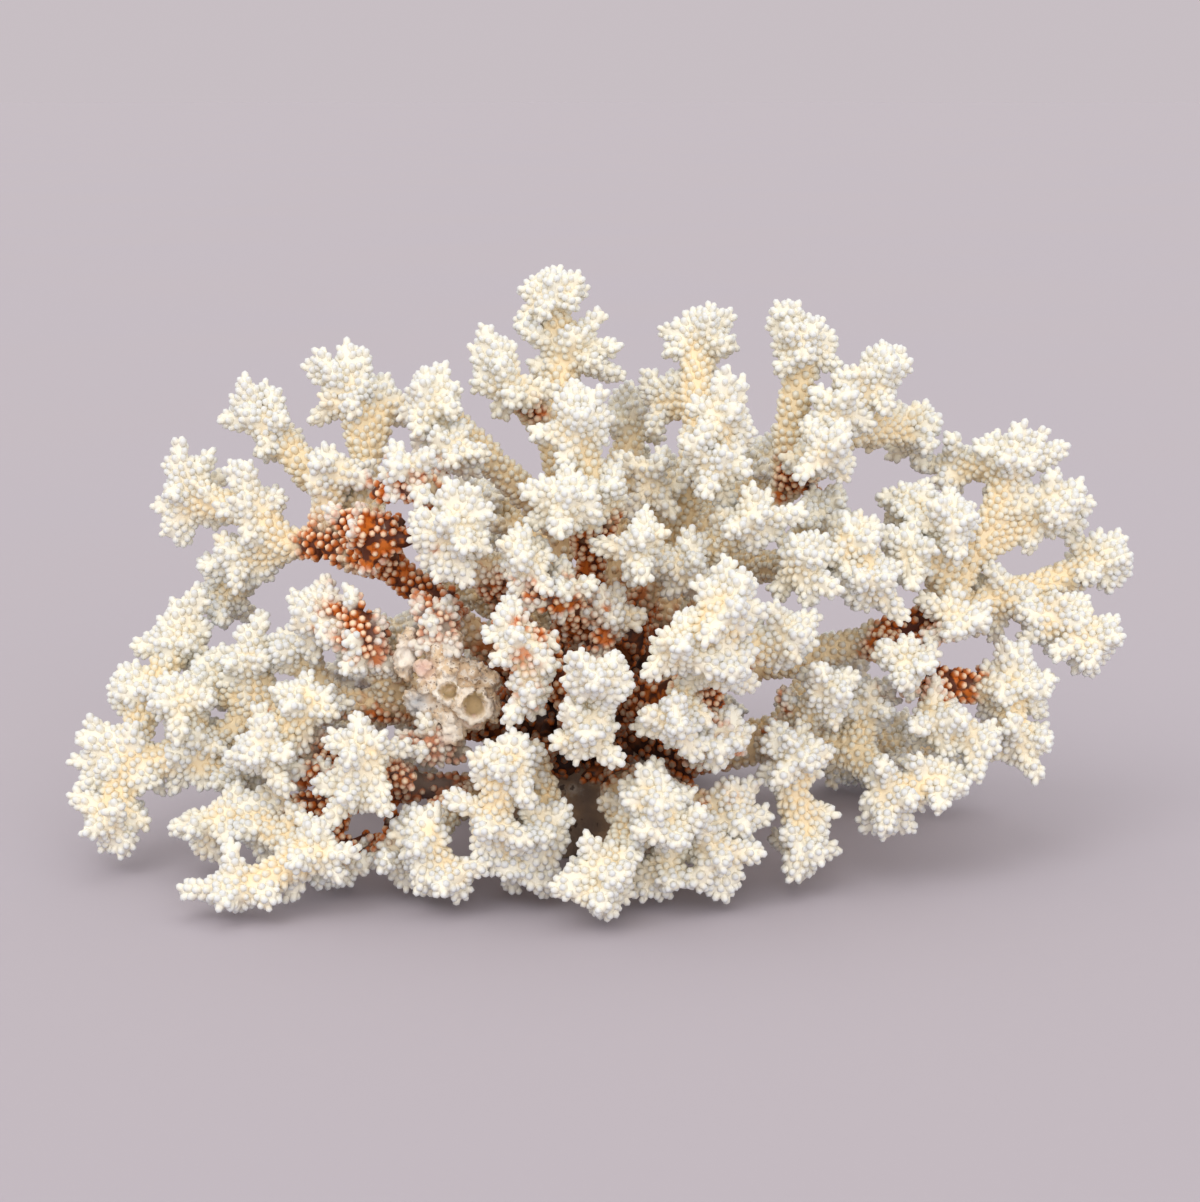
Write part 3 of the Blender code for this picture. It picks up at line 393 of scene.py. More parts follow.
              ((52, 80), (67, 69), (60, 62), (52, 58), (47, 70), (61, 77))),
    ),
    "limb_front_low": (
        Spray("lo_a", "heart", (6, 27, -38)),
        Spray("lo_b", "lo_a", (21, 21, -60)),
        Spray("lo_top", "lo_b", (16, 22, -88), ((12, 34), (5, 22), (10, 15), (20, 31), (27, 22))),
        Spray("lo_end", "lo_top", (22, 12, -88), ((21, 5), (26, 7), (29, 14))),
        Spray("lo_c", "lo_a", (9, 12, -76), ((16, 9), (4, 16))),
        Spray("lo_mid", "lo_c", (3, 2, -90), ((2, 11), (-3, 7), (14, 6), (10, 0))),
        Spray("lo_foot", "lo_mid", (0, -6, -93), ((-6, -10), (0, -15), (6, -8))),
        Spray("lo_back", "lo_b", (20, 0, -78), ((18, -11), (26, -3), (14, -8))),
        Spray("lo_right", "lo_b", (34, 6, -78), ((27, 2), (28, 8), (38, -11), (43, -5), (32, -8))),
        Spray("lo_side", "lo_b", (40, 17, -68), ((47, 8), (43, 5), (46, 18), (39, 30))),
    ),
    "branch_crusted": (
        Spray("bc_a", "le_a", (-44, 54, -44)),
        Spray("bc_top", "bc_a", (-48, 74, -52), ((-58, 81), (-48, 83), (-42, 80), (-42, 72), (-53, 69))),
        Spray("bc_low", "bc_a", (-50, 37, -56), ((-56, 38), (-54, 32), (-46, 31), (-43, 37))),
    ),
}

# Far pieces: name, the near pieces that they repeat, and the degrees that are added to their turn
FAR_PIECES = (
    ("limb_back_left", ("limb_front_right",), 4.0),
    ("limb_back_right", ("limb_front_left",), -3.0),
    ("limb_back_middle", ("limb_front",), 0.0),
    ("limb_back_low", ("limb_front_low",), 2.0),
    ("limb_back_high_right", ("limb_centre_left",), 3.0),
    ("limb_back_high_middle", ("limb_centre",), -2.0),
    ("limb_back_far_right", ("limb_lower_left", "branch_lower_left"), -6.0),
    ("limb_back_far_left", ("limb_right_low",), 8.0),
    ("limb_back_high_left", ("branch_centre_right",), 0.0),
)


@dataclass(frozen=True)
class SkeletonRule:
    """How the solids' skeleton spreads, in millimetres: the twigs' radii, the buds and the far side."""

    stem_radius: float = 8.6
    head_radius: float = 8.0
    tip_radius: float = 4.8
    bud_length: float = 13.5
    bare_stem: float = 13.0
    bud_spacing: float = 9.5
    bud_turn: float = math.radians(137.5)
    bud_lean: float = 0.6
    bud_root_radius: float = 6.4
    tip_sway: float = 3.5
    shortest_lean: float = 0.5
    shortest_run: float = 0.5
    floor_clearance: float = 0.9
    far_turn: float = math.radians(176.0)
    far_shrink: float = 0.93
    far_wander: float = 2.5
    near_seed: int = 11
    far_seed: int = 29


class Skeleton:
    """The twigs of every limb and branch, where the solids have them."""

    def __init__(self, rule: SkeletonRule) -> None:
        """Grow the near side, and turn some of it round to the far side.

        Args:
            rule: How the skeleton spreads.
        """
        self.rule = rule
        self.twigs: dict[str, list[Twig]] = {}
        self._grow_near()
        self._grow_far()

    def above_floor(self, point: Vector, radius: float) -> Vector:
        """Lift a point so that a skin of that radius round it stays clear of the floor.

        Args:
            point: A point in the frame.
            radius: The skin's distance from it.

        Returns:
            The lifted point.
        """
        return Vector((point.x, point.y, max(point.z, radius + self.rule.floor_clearance)))

    def _centres(self) -> dict[str, Vector]:
        """Where each spray's centre stands, by the spray's name."""
        centres = {"heart": HEART}
        for sprays in NEAR_PIECES.values():
            for spray in sprays:
                radius = self.rule.head_radius if spray.tips else self.rule.stem_radius
                centres[spray.name] = self.above_floor(SHEET.place(*spray.centre), radius)
        return centres

    def _stem_buds(self, start: Vector, end: Vector, dice: random.Random) -> list[Twig]:
        """Short side lobes in a spiral round the outer part of a stem that carries a head.

        Args:
            start: The stem's root.
            end: The middle of its head.
            dice: The source of chance.

        Returns:
            The buds.
        """
        rule = self.rule
        run = end - start
        along = run.normalized()
        across = along.orthogonal().normalized()
        buds = []
        reach = rule.bare_stem
        angle = dice.uniform(0.0, math.tau)
        while reach < run.length:
            side = Matrix.Rotation(angle, 3, along) @ across
            root = start + along * reach
            tip = root + (side + along * rule.bud_lean).normalized() * (rule.bud_length - rule.tip_radius)
            tip = self.above_floor(tip, rule.tip_radius)
            buds.append(Twig(root, tip, rule.bud_root_radius, rule.tip_radius, Growth.BUD))
            reach += rule.bud_spacing
            angle += rule.bud_turn
        return buds

    def _spray_twigs(self, spray: Spray, centres: dict[str, Vector], dice: random.Random) -> list[Twig]:
        """The twigs of one spray: its stem, its lobes out to the tips, and buds across them.

        Args:
            spray: The spray.
            centres: Where every spray's centre stands.
            dice: The source of chance.

        Returns:
            The twigs, the stem first.
        """
        rule = self.rule
        start = centres[spray.grows_from]
        end = centres[spray.name]
        from_heart = spray.grows_from == "heart"
        twigs = [Twig(start, end, rule.stem_radius if from_heart else rule.head_radius,
                      rule.head_radius if spray.tips else rule.stem_radius, Growth.STEM)]
        if spray.tips and not from_heart:
            twigs += self._stem_buds(start, end, dice)
        for across, up in spray.tips:
            tip = SHEET.place(across, up, spray.centre[2] + dice.uniform(-rule.tip_sway, rule.tip_sway))
            run = tip - end
            tip = self.above_floor(tip - run.normalized() * rule.tip_radius, rule.tip_radius)
            twigs.append(Twig(end, tip, rule.head_radius, rule.tip_radius, Growth.LOBE))
        if spray.tips:
            outward = (end - HEART).normalized()
            for side in (Vector((0.0, -1.0, 0.0)), Vector((0.0, 1.0, 0.0))):
                lean = outward + side
                if lean.length > rule.shortest_lean:
                    tip = end + lean.normalized() * (rule.bud_length - rule.tip_radius)
                    tip = self.above_floor(tip, rule.tip_radius)
                    twigs.append(Twig(end, tip, rule.head_radius, rule.tip_radius, Growth.LOBE))
        return twigs

    def _grow_near(self) -> None:
        """Grow every near piece."""
        centres = self._centres()
        dice = random.Random(self.rule.near_seed)
        for name, sprays in NEAR_PIECES.items():
            self.twigs[name] = [twig for spray in sprays
                                for twig in self._spray_twigs(spray, centres, dice)]

    def _grow_far(self) -> None:
        """Turn near limbs round the upright axis, a little smaller and askew."""
        dice = random.Random(self.rule.far_seed)
        for name, sources, added_turn in FAR_PIECES:
            near = [twig for source in sources for twig in self.twigs[source]]
            self.twigs[name] = self._turned(near, self.rule.far_turn + math.radians(added_turn), dice)

    def _turned(self, twigs: list[Twig], angle: float, dice: random.Random) -> list[Twig]:
        """Turn twigs round the upright axis, and let each of their points wander.

        Args:
            twigs: The near limb's twigs.
            angle: The turn.
            dice: The source of chance.

        Returns:
            The far limb's twigs.
        """
        rule = self.rule
        turn = Matrix.Rotation(angle, 3, "Z")
        wander: dict[tuple[float, ...], Vector] = {}

        def moved(point: Vector, radius: float) -> Vector:
            """A point's new place, the same for every twig that meets there."""
            key = tuple(round(value, 3) for value in point)
            if key not in wander:
                wander[key] = Vector([dice.uniform(-rule.far_wander, rule.far_wander) for _ in range(3)])
            if (point - HEART).length < rule.shortest_run:
                return point.copy()
            return self.above_floor(turn @ (point * rule.far_shrink) + wander[key], radius)

        return [Twig(moved(twig.start, twig.start_radius), moved(twig.end, twig.end_radius),
                     twig.start_radius, twig.end_radius, twig.growth) for twig in twigs]


@dataclass(frozen=True)
class FingerRule:
    """How a core's fingers are drawn round the skeleton's twigs, in millimetres."""

    knob_reach: float = 1.8
    stem_root: float = 4.7
    stem_end: float = 3.7
    lobe_root: float = 3.4
    lobe_tip: float = 2.2
    bud_root: float = 3.0
    bud_tip: float = 2.0
    nub_length: float = 3.6
    nub_tip: float = 1.4
    nub_spread: float = math.radians(48.0)
    nub_twist: float = 0.5
    nub_places: Span = (0.45, 0.75)
    nub_sizes: Span = (0.8, 1.15)
    nub_root_youth: float = 0.8
    lobe_per_nub: float = 11.0
    shortest_lobe: float = 1.0
    filler_length: float = 11.5
    filler_sizes: Span = (0.85, 1.15)
    filler_angle: float = math.radians(47.0)
    filler_youth: float = 0.92
    fillers_per_head: int = 4
    filler_tries: int = 40
    head_twigs: int = 3
    side_lobe_length: float = 7.6
    side_lobe_sizes: Span = (0.8, 1.2)
    side_lobe_spacing: float = 7.0
    side_lobe_turn: float = math.radians(137.5)
    side_lobe_lean: float = 0.7
    bare_root: float = 21.0
    old_stem_radius: float = 8.5
    stem_bow: float = 1.6
    lobe_bow: float = 0.9
    pale_from: float = 28.0
    pale_to: float = 80.0
    stem_youth: float = 0.62
    head_youth: float = 0.66
    bud_youth: float = 0.8
    shortest_way: float = 0.1
    seed: int = 47


def smooth_step(low: float, high: float, value: float) -> float:
    """Rise smoothly from 0 at low to 1 at high."""
    share = min(1.0, max(0.0, (value - low) / (high - low)))
    return share * share * (3.0 - 2.0 * share)


class Fingers:
    """The fingers of every piece: slim stems, lobes with nubs at their ends, and fillers between."""

    def __init__(self, skeleton: Skeleton, rule: FingerRule) -> None:
        """Draw the fingers of every piece.

        Args:
            skeleton: The twigs to draw them round.
            rule: Their sizes.
        """
        self.rule = rule
        self.dice = random.Random(rule.seed)
        self.floor = rule.knob_reach
        self.of_piece = {name: self._piece(twigs) for name, twigs in skeleton.twigs.items()}

    def _side_lobes(self, stem: Twig) -> list[Finger]:
        """Short lobes in a spiral round a stem that carries other stems.

        Args:
            stem: The stem's twig.

        Returns:
            The lobes.
        """
        rule = self.rule
        run = stem.end - stem.start
        along = run.normalized()
        across = along.orthogonal().normalized()
        angle = self.dice.uniform(0.0, math.tau)
        reach = rule.bare_root
        lobes = []
        while reach < run.length:
            side = Matrix.Rotation(angle, 3, along) @ across
            root = stem.start + along * reach
            way = (side + along * rule.side_lobe_lean).normalized()
            length = rule.side_lobe_length * self.dice.uniform(*rule.side_lobe_sizes)
            lobes.append(self._finger(root, root + way * length, (rule.bud_root, rule.bud_tip),
                                      (self._age_of(root), rule.bud_youth), 0.0))
            reach += rule.side_lobe_spacing
            angle += rule.side_lobe_turn
        return lobes

    def _any_way(self) -> Vector:
        """A random direction."""
        while True:
            way = Vector([self.dice.uniform(-1.0, 1.0) for _ in range(3)])
            if self.rule.shortest_way < way.length < 1.0:
                return way.normalized()

    def _age_of(self, point: Vector) -> float:
        """How pale an old stem is, by its distance from the heart."""
        rule = self.rule
        return rule.stem_youth * smooth_step(rule.pale_from, rule.pale_to, (point - HEART).length)

    def _finger(self, start: Vector, end: Vector, radii: tuple[float, float],
                youths: tuple[float, float], bow: float) -> Finger:
        """One finger, bowed a little and kept above the floor.

        Args:
            start: Its root.
            end: The middle of its round end.
            radii: Its radius at either end.
            youths: Its youth at either end.
            bow: How far its middle may stray.

        Returns:
            The finger.
        """
        low = radii[1] + self.floor
        end = Vector((end.x, end.y, max(end.z, low)))
        return Finger(start, end, radii[0], radii[1], youths[0], youths[1], self._any_way() * bow)

    def _nubs(self, lobe: Finger) -> list[Finger]:
        """Short nubs that part from a lobe near its end.

        Args:
            lobe: The lobe.

        Returns:
            The nubs.
        """
        rule = self.rule
        run = lobe.end - lobe.start
        if run.length < rule.shortest_lobe:
            return []
        along = run.normalized()
        side = along.orthogonal().normalized()
        first = self.dice.uniform(0.0, math.tau)
        nubs = []
        count = round(run.length / rule.lobe_per_nub)
        for index in range(count):
            turn = first + math.tau * index / count + self.dice.uniform(-rule.nub_twist, rule.nub_twist)
            way = Matrix.Rotation(turn, 3, along) @ side
            way = along * math.cos(rule.nub_spread) + way * math.sin(rule.nub_spread)
            root = lobe.start + run * self.dice.uniform(*rule.nub_places)
            length = rule.nub_length * self.dice.uniform(*rule.nub_sizes)
            nubs.append(self._finger(root, root + way * length, (lobe.end_radius, rule.nub_tip),
                                     (lobe.end_youth * rule.nub_root_youth, 1.0), 0.0))
        return nubs

    def _fillers(self, centre: Vector, ways: list[Vector]) -> list[Finger]:
        """Lobes that fill the widest openings between a head's own lobes.

        Args:
            centre: The head's middle.
            ways: The directions of the twigs that meet there.

        Returns:
            The fillers.
        """
        rule = self.rule
        taken = list(ways)
        found = []
        for _ in range(rule.filler_tries):
            way = self._any_way()
            is_open = all(way.angle(other) > rule.filler_angle for other in taken)
            if is_open and len(found) < rule.fillers_per_head:
                taken.append(way)
                length = rule.filler_length * self.dice.uniform(*rule.filler_sizes)
                found.append(self._finger(centre, centre + way * length, (rule.lobe_root, rule.lobe_tip),
                                          (rule.head_youth, rule.filler_youth), rule.lobe_bow))
        return found

    def _stem(self, twig: Twig) -> list[Finger]:
        """A stem, with side lobes where it only carries other stems.

        Args:
            twig: The stem's twig.

        Returns:
            The stem's finger and its side lobes.
        """
        rule = self.rule
        youths = (self._age_of(twig.start), self._age_of(twig.end))
        stem = self._finger(twig.start, twig.end, (rule.stem_root, rule.stem_end), youths, rule.stem_bow)
        is_old = min(twig.start_radius, twig.end_radius) > rule.old_stem_radius
        return [stem, *self._side_lobes(twig)] if is_old else [stem]

    def _lobe(self, twig: Twig, along: Vector) -> list[Finger]:
        """A lobe or a bud with its nubs.

        Args:
            twig: Its twig.
            along: The twig's direction.

        Returns:
            The lobe's finger and its nubs.
        """
        rule = self.rule
        if twig.growth is Growth.BUD:
            radii = (rule.bud_root, rule.bud_tip)
            youths = (self._age_of(twig.start), rule.bud_youth)
        else:
            radii = (rule.lobe_root, rule.lobe_tip)
            youths = (rule.head_youth, 1.0)
        end = twig.end + along * (twig.end_radius - radii[1] - rule.knob_reach)
        lobe = self._finger(twig.start, end, radii, youths, rule.lobe_bow)
        return [lobe, *self._nubs(lobe)]

    def _piece(self, twigs: list[Twig]) -> list[Finger]:
        """The fingers of one piece.

        Args:
            twigs: Its twigs.

        Returns:
            Its fingers.
        """
        fingers = []
        heads: dict[tuple[float, ...], list[Vector]] = {}
        for twig in twigs:
            along = (twig.end - twig.start).normalized()
            if twig.growth is Growth.STEM:
                fingers += self._stem(twig)
                heads.setdefault(tuple(twig.end), []).append(-along)
            else:
                fingers += self._lobe(twig, along)
            if twig.growth is Growth.LOBE:
                heads.setdefault(tuple(twig.start), []).append(along)
        for centre, ways in heads.items():
            if len(ways) >= self.rule.head_twigs:
                for filler in self._fillers(Vector(centre), ways):
                    fingers += [filler, *self._nubs(filler)]
        return fingers


@dataclass(frozen=True)
class FingerArray:
    """The fingers of a piece as arrays, to measure many points against them, in millimetres."""

    start: np.ndarray
    run: np.ndarray
    radius: np.ndarray
    youth: np.ndarray

    @classmethod
    def of(cls, fingers: list[Finger]) -> "FingerArray":
        """Lay fingers out as arrays."""
        return cls(np.array([finger.start[:] for finger in fingers]),
                   np.array([(finger.end - finger.start)[:] for finger in fingers]),
                   np.array([(finger.start_radius, finger.end_radius) for finger in fingers]),
                   np.array([(finger.start_youth, finger.end_youth) for finger in fingers]))

    def near(self, low: np.ndarray, high: np.ndarray) -> "FingerArray":
        """Only the fingers that reach into a box.

        Args:
            low: The box's lowest corner.
            high: Its highest corner.

        Returns:
            A new array of those fingers.
        """
        ends = np.stack((self.start, self.start + self.run))
        reach = self.radius.max(1)[:, None]
        meets = ((ends.min(0) - reach < high) & (ends.max(0) + reach > low)).all(1)
        return FingerArray(self.start[meets], self.run[meets], self.radius[meets], self.youth[meets])

    def nearest(self, points: np.ndarray) -> tuple[np.ndarray, np.ndarray, np.ndarray]:
        """Measure points against the fingers' skins.

        Args:
            points: The points, in millimetres.

        Returns:
            Each point's distance outside the nearest skin, that finger's youth there and its direction.
        """
        square = np.maximum((self.run ** 2).sum(1), SMALLEST_SQUARE)
        offset = points[:, None, :] - self.start[None]
        share = np.clip((offset * self.run[None]).sum(2) / square[None], 0.0, 1.0)
        miss = np.linalg.norm(offset - share[..., None] * self.run[None], axis=2)
        outside = miss - (self.radius[:, 0] + share * (self.radius[:, 1] - self.radius[:, 0]))
        best = outside.argmin(1)
        rows = np.arange(len(points))
        youth = self.youth[best, 0] + share[rows, best] * (self.youth[best, 1] - self.youth[best, 0])
        way = self.run[best] / np.sqrt(square[best])[:, None]
        return outside[rows, best], youth, way


def deselect_all() -> None:
    """Leave nothing selected, since an operator acts on all that is."""
    bpy.ops.object.select_all(action="DESELECT")


def select_only(pieces: list[bpy.types.Object]) -> None:
    """Select these pieces alone, the first of them active."""
    deselect_all()
    for piece in pieces:
        piece.select_set(True)
    bpy.context.view_layer.objects.active = pieces[0]


def apply_modifiers(piece: bpy.types.Object) -> None:
    """Apply every modifier of a piece in turn."""
    select_only([piece])
    for modifier in list(piece.modifiers):
        bpy.ops.object.modifier_apply(modifier=modifier.name)


def shade_smooth(piece: bpy.types.Object) -> None:
    """Shade the whole piece smooth."""
    select_only([piece])
    bpy.ops.object.shade_smooth()


def joined(parts: list[bpy.types.Object], name: str) -> bpy.types.Object:
    """Join parts to one piece at the origin.

    Args:
        parts: The parts.
        name: The piece's name.

    Returns:
        The piece.
    """
    select_only(parts)
    bpy.ops.object.join()
    whole = bpy.context.object
    whole.name = whole.data.name = name
    bpy.ops.object.transform_apply(location=True, rotation=True, scale=True)
    return whole


def add_fuse(piece: bpy.types.Object, voxel: float) -> None:
    """Let a piece's overlapping parts fuse to one skin, on a grid of voxels of that size in millimetres."""
    fuse = piece.modifiers.new("fuse", "REMESH")
    fuse.mode = "VOXEL"
    fuse.voxel_size = voxel * MM


def add_thinning(piece: bpy.types.Object, kept_faces: float) -> None:
    """Let a piece keep only that share of its faces."""
    thin = piece.modifiers.new("thin_out", "DECIMATE")
    thin.ratio = kept_faces


def clouds(name: str, size: float, detail: int) -> bpy.types.Texture:
    """A texture of clouds that are about size millimetres wide."""
    texture = bpy.data.textures.new(name, "CLOUDS")
    texture.noise_scale = size * MM
    texture.noise_depth = detail
    return texture


def add_relief(piece: bpy.types.Object, texture: bpy.types.Texture, depth: float,
               middle: float = 0.5) -> None:
    """Push a piece's skin in and out by a texture.

    Args:
        piece: The piece.
        texture: The texture.
        depth: From the lowest to the highest place, in millimetres.
        middle: The texture's value at which the skin stays.
    """
    relief = piece.modifiers.new("relief", "DISPLACE")
    relief.texture = texture
    relief.texture_coords = "LOCAL"
    relief.strength = depth * MM
    relief.mid_level = middle


def vertex_places(mesh: bpy.types.Mesh) -> np.ndarray:
    """The vertices' places in millimetres."""
    places = np.empty(len(mesh.vertices) * 3)
    mesh.vertices.foreach_get("co", places)
    return places.reshape(-1, 3) / MM


def move_vertices(mesh: bpy.types.Mesh, places: np.ndarray) -> None:
    """Put the vertices at places given in millimetres."""
    mesh.vertices.foreach_set("co", (places * MM).ravel())
    mesh.update()


def store(mesh: bpy.types.Mesh, name: str, values: np.ndarray) -> None:
    """Keep a number or a vector for each vertex under a name that materials and nodes can read."""
    is_vector = values.ndim == 2
    layer = mesh.attributes.new(name, "FLOAT_VECTOR" if is_vector else "FLOAT", "POINT")
    layer.data.foreach_set("vector" if is_vector else "value", values.astype(np.float32).ravel())


def fade(distance: np.ndarray, radius: float) -> np.ndarray:
    """A soft spot: 1 at its middle, 0 from its radius outwards."""
    share = np.clip(1.0 - distance / radius, 0.0, 1.0)
    return share * share * (3.0 - 2.0 * share)


@dataclass(frozen=True)
class CoreRule:
    """How a core's skin is made over its fingers, in millimetres."""

    sides: int = 3
    cap_angles: tuple[float, ...] = (0.6, 1.1, 1.45)
    steps: int = 5
    thinning: float = 1.6
    old_root_youth: float = 0.4
    old_end_youth: float = 0.5
    voxel: float = 1.35
    smoothing: float = 0.5
    smooth_rounds: int = 3
    kept_faces: float = 0.22
    grain_size: float = 5.0
    grain_detail: int = 2
    grain_depth: float = 0.9


class CoreBuilder:
    """Makes the skin under the knobs: beveled curves along the fingers, fused to one mesh."""

    def __init__(self, rule: CoreRule) -> None:
        """Keep the rule and the grain that roughens every core.

        Args:
            rule: How the skin is made.
        """
        self.rule = rule
        self.grain = clouds("core_grain", rule.grain_size, rule.grain_detail)

    def _spline_points(self, finger: Finger) -> list[tuple[Vector, float]]:
        """The points of one finger's curve with their radii, and a round end.

        Args:
            finger: The finger.

        Returns:
            Places and radii from the root to the end.
        """
        rule = self.rule
        run = finger.end - finger.start
        along = run.normalized()
        is_old = finger.start_youth < rule.old_root_youth and finger.end_youth < rule.old_end_youth
        power = 1.0 if is_old else rule.thinning
        points = []
        for step in range(rule.steps):
            share = step / (rule.steps - 1)
            radius = finger.end_radius + (finger.start_radius - finger.end_radius) * (1.0 - share) ** power
            points.append((finger.start + run * share + finger.bow * (4.0 * share * (1.0 - share)), radius))
        for angle in rule.cap_angles:
            points.append((finger.end + along * (finger.end_radius * math.sin(angle)),
                           finger.end_radius * math.cos(angle)))
        return points

    def build(self, name: str, fingers: list[Finger]) -> bpy.types.Object:
        """The core of one piece.

        Args:
            name: The piece's name.
            fingers: Its fingers.

        Returns:
            One closed mesh, at the origin.
        """
        rule = self.rule
        deselect_all()
        bpy.ops.curve.primitive_nurbs_path_add(location=(0.0, 0.0, 0.0))
        core = bpy.context.object
        core.name = name
        curve = core.data
        curve.splines.clear()
        curve.bevel_depth = MM
        curve.bevel_resolution = rule.sides
        curve.use_fill_caps = True
        for finger in fingers:
            points = self._spline_points(finger)
            spline = curve.splines.new("POLY")
            spline.points.add(len(points) - 1)
            for target, (place, radius) in zip(spline.points, points):
                target.co = (*(place * MM), 1.0)
                target.radius = radius
        bpy.ops.object.convert(target="MESH")
        core.data.name = name
        add_fuse(core, rule.voxel)
        smooth = core.modifiers.new("soften", "SMOOTH")
        smooth.factor = rule.smoothing
        smooth.iterations = rule.smooth_rounds
        add_relief(core, self.grain, rule.grain_depth)
        add_thinning(core, rule.kept_faces)
        apply_modifiers(core)
        return core


@dataclass(frozen=True)
class KnobSort:
    """One sort of knob in millimetres, and the side of the parting youth on which it stands."""

    spacing: float
    width: float
    height: float
    side: str


@dataclass(frozen=True)
class KnobRule:
    """The knobs' form, as shares of their width and height, and their two sorts: young and old."""

    sides: int = 6
    rings: int = 3
    pole_height: float = 0.9
    foot_height: float = -0.95
    root_height: float = -0.35
    shoulder_height: float = 0.62
    shoulder_width: float = 0.84
    sorts: tuple[KnobSort, ...] = (
        KnobSort(2.0, 1.17, 1.8, "GREATER_THAN"),
        KnobSort(2.3, 1.25, 1.35, "LESS_EQUAL"),
    )
    parting_youth: float = 0.42
    crowd: float = 12.0
    sizes: Span = (0.88, 1.12)


class KnobScatter:
    """A Geometry Nodes tree that sets knobs over a core and makes them one mesh with it."""

    def __init__(self, rule: KnobRule) -> None:
        """Model the one knob and build the tree that copies it.

        Args:
            rule: The knobs' form and spacing.
        """
        self.rule = rule
        self.knob = self._model_knob()
        self.tree = bpy.data.node_groups.new("knobs_on_a_core", "GeometryNodeTree")
        sockets = self.tree.interface
        sockets.new_socket("Core", in_out="INPUT", socket_type="NodeSocketGeometry")
        self.seed = sockets.new_socket("Seed", in_out="INPUT", socket_type="NodeSocketInt").identifier
        sockets.new_socket("Knobby core", in_out="OUTPUT", socket_type="NodeSocketGeometry")
        self._lay_nodes()

    def _model_knob(self) -> bpy.types.Object:
        """One round-topped peg of unit width and height, whose attribute gives the height on it."""
        rule = self.rule
        deselect_all()
        bpy.ops.mesh.primitive_uv_sphere_add(segments=rule.sides, ring_count=rule.rings, radius=1.0,
                                             location=(0.0, 0.0, 0.0))
        knob = bpy.context.object
        knob.name = knob.data.name = "knob"
        heights = np.empty(len(knob.data.vertices))
        for index, vertex in enumerate(knob.data.vertices):
            side = Vector((vertex.co.x, vertex.co.y)).normalized()
            if vertex.co.z > rule.pole_height:
                vertex.co = (0.0, 0.0, 1.0)
            elif vertex.co.z > 0.0:
                vertex.co = (*(side * rule.shoulder_width), rule.shoulder_height)
            elif vertex.co.z > -rule.pole_height:
                vertex.co = (*side, rule.root_height)
            else:
                vertex.co = (0.0, 0.0, rule.foot_height)
            heights[index] = max(0.0, vertex.co.z)
        store(knob.data, "height", heights)
        shade_smooth(knob)
        return knob

    def _node(self, kind: str, **values: object) -> bpy.types.Node:
        """Add a node to the tree and set its properties.

        Args:
            kind: The node's type.
            **values: Its properties by name.

        Returns:
            The node.
        """
        node = self.tree.nodes.new(kind)
        for name, value in values.items():
            setattr(node, name, value)
        return node

    def _named(self, name: str, data_type: str) -> bpy.types.NodeSocket:
        """A field that reads an attribute of the core."""
        node = self._node("GeometryNodeInputNamedAttribute", data_type=data_type)
        node.inputs["Name"].default_value = name
        return next(socket for socket in node.outputs if socket.enabled and socket.name == "Attribute")

    def _spread(self, sort: KnobSort, source: bpy.types.Node,
                youth: bpy.types.NodeSocket) -> bpy.types.Node:
        """Spread points over the core where one sort of knob stands.

        Args:
            sort: The sort of knob.
            source: The tree's input, with the core and the seed.
            youth: The core's youth.

        Returns:
            The node that gives the points and their normals.
        """
        link = self.tree.links.new
        is_sort = self._node("FunctionNodeCompare", data_type="FLOAT", operation=sort.side)
        is_sort.inputs["B"].default_value = self.rule.parting_youth
        link(youth, is_sort.inputs["A"])
        spread = self._node("GeometryNodeDistributePointsOnFaces", distribute_method="POISSON")
        spread.inputs["Distance Min"].default_value = sort.spacing * MM
        spread.inputs["Density Max"].default_value = self.rule.crowd / (sort.spacing * MM) ** 2
        link(source.outputs["Core"], spread.inputs["Mesh"])
        link(source.outputs["Seed"], spread.inputs["Seed"])
        link(is_sort.outputs["Result"], spread.inputs["Selection"])
        link(self._named("room", "FLOAT"), spread.inputs["Density Factor"])
        return spread

    def _copies(self, sort: KnobSort, spread: bpy.types.Node, knob: bpy.types.Node) -> bpy.types.NodeSocket:
        """Stand a leaning knob of a random size on each point.

        Args:
            sort: The sort of knob.
            spread: The node that gives the points.
            knob: The node that gives the knob.

        Returns:
            The copies.
        """
        link = self.tree.links.new
        tilt = self._node("ShaderNodeVectorMath", operation="ADD")
        link(spread.outputs["Normal"], tilt.inputs[0])
        link(self._named("lean", "FLOAT_VECTOR"), tilt.inputs[1])
        stand = self._node("FunctionNodeAlignRotationToVector", axis="Z")
        link(tilt.outputs["Vector"], stand.inputs["Vector"])
        size = self._node("FunctionNodeRandomValue", data_type="FLOAT")
        low, high = [socket for socket in size.inputs if socket.enabled and socket.name in ("Min", "Max")]
        low.default_value, high.default_value = self.rule.sizes
        form = self._node("ShaderNodeVectorMath", operation="SCALE")
        form.inputs[0].default_value = (sort.width * MM, sort.width * MM, sort.height * MM)
        link(next(socket for socket in size.outputs if socket.enabled), form.inputs["Scale"])
        copies = self._node("GeometryNodeInstanceOnPoints")
        link(spread.outputs["Points"], copies.inputs["Points"])
        link(knob.outputs["Geometry"], copies.inputs["Instance"])
        link(stand.outputs["Rotation"], copies.inputs["Rotation"])
        link(form.outputs["Vector"], copies.inputs["Scale"])
        return copies.outputs["Instances"]

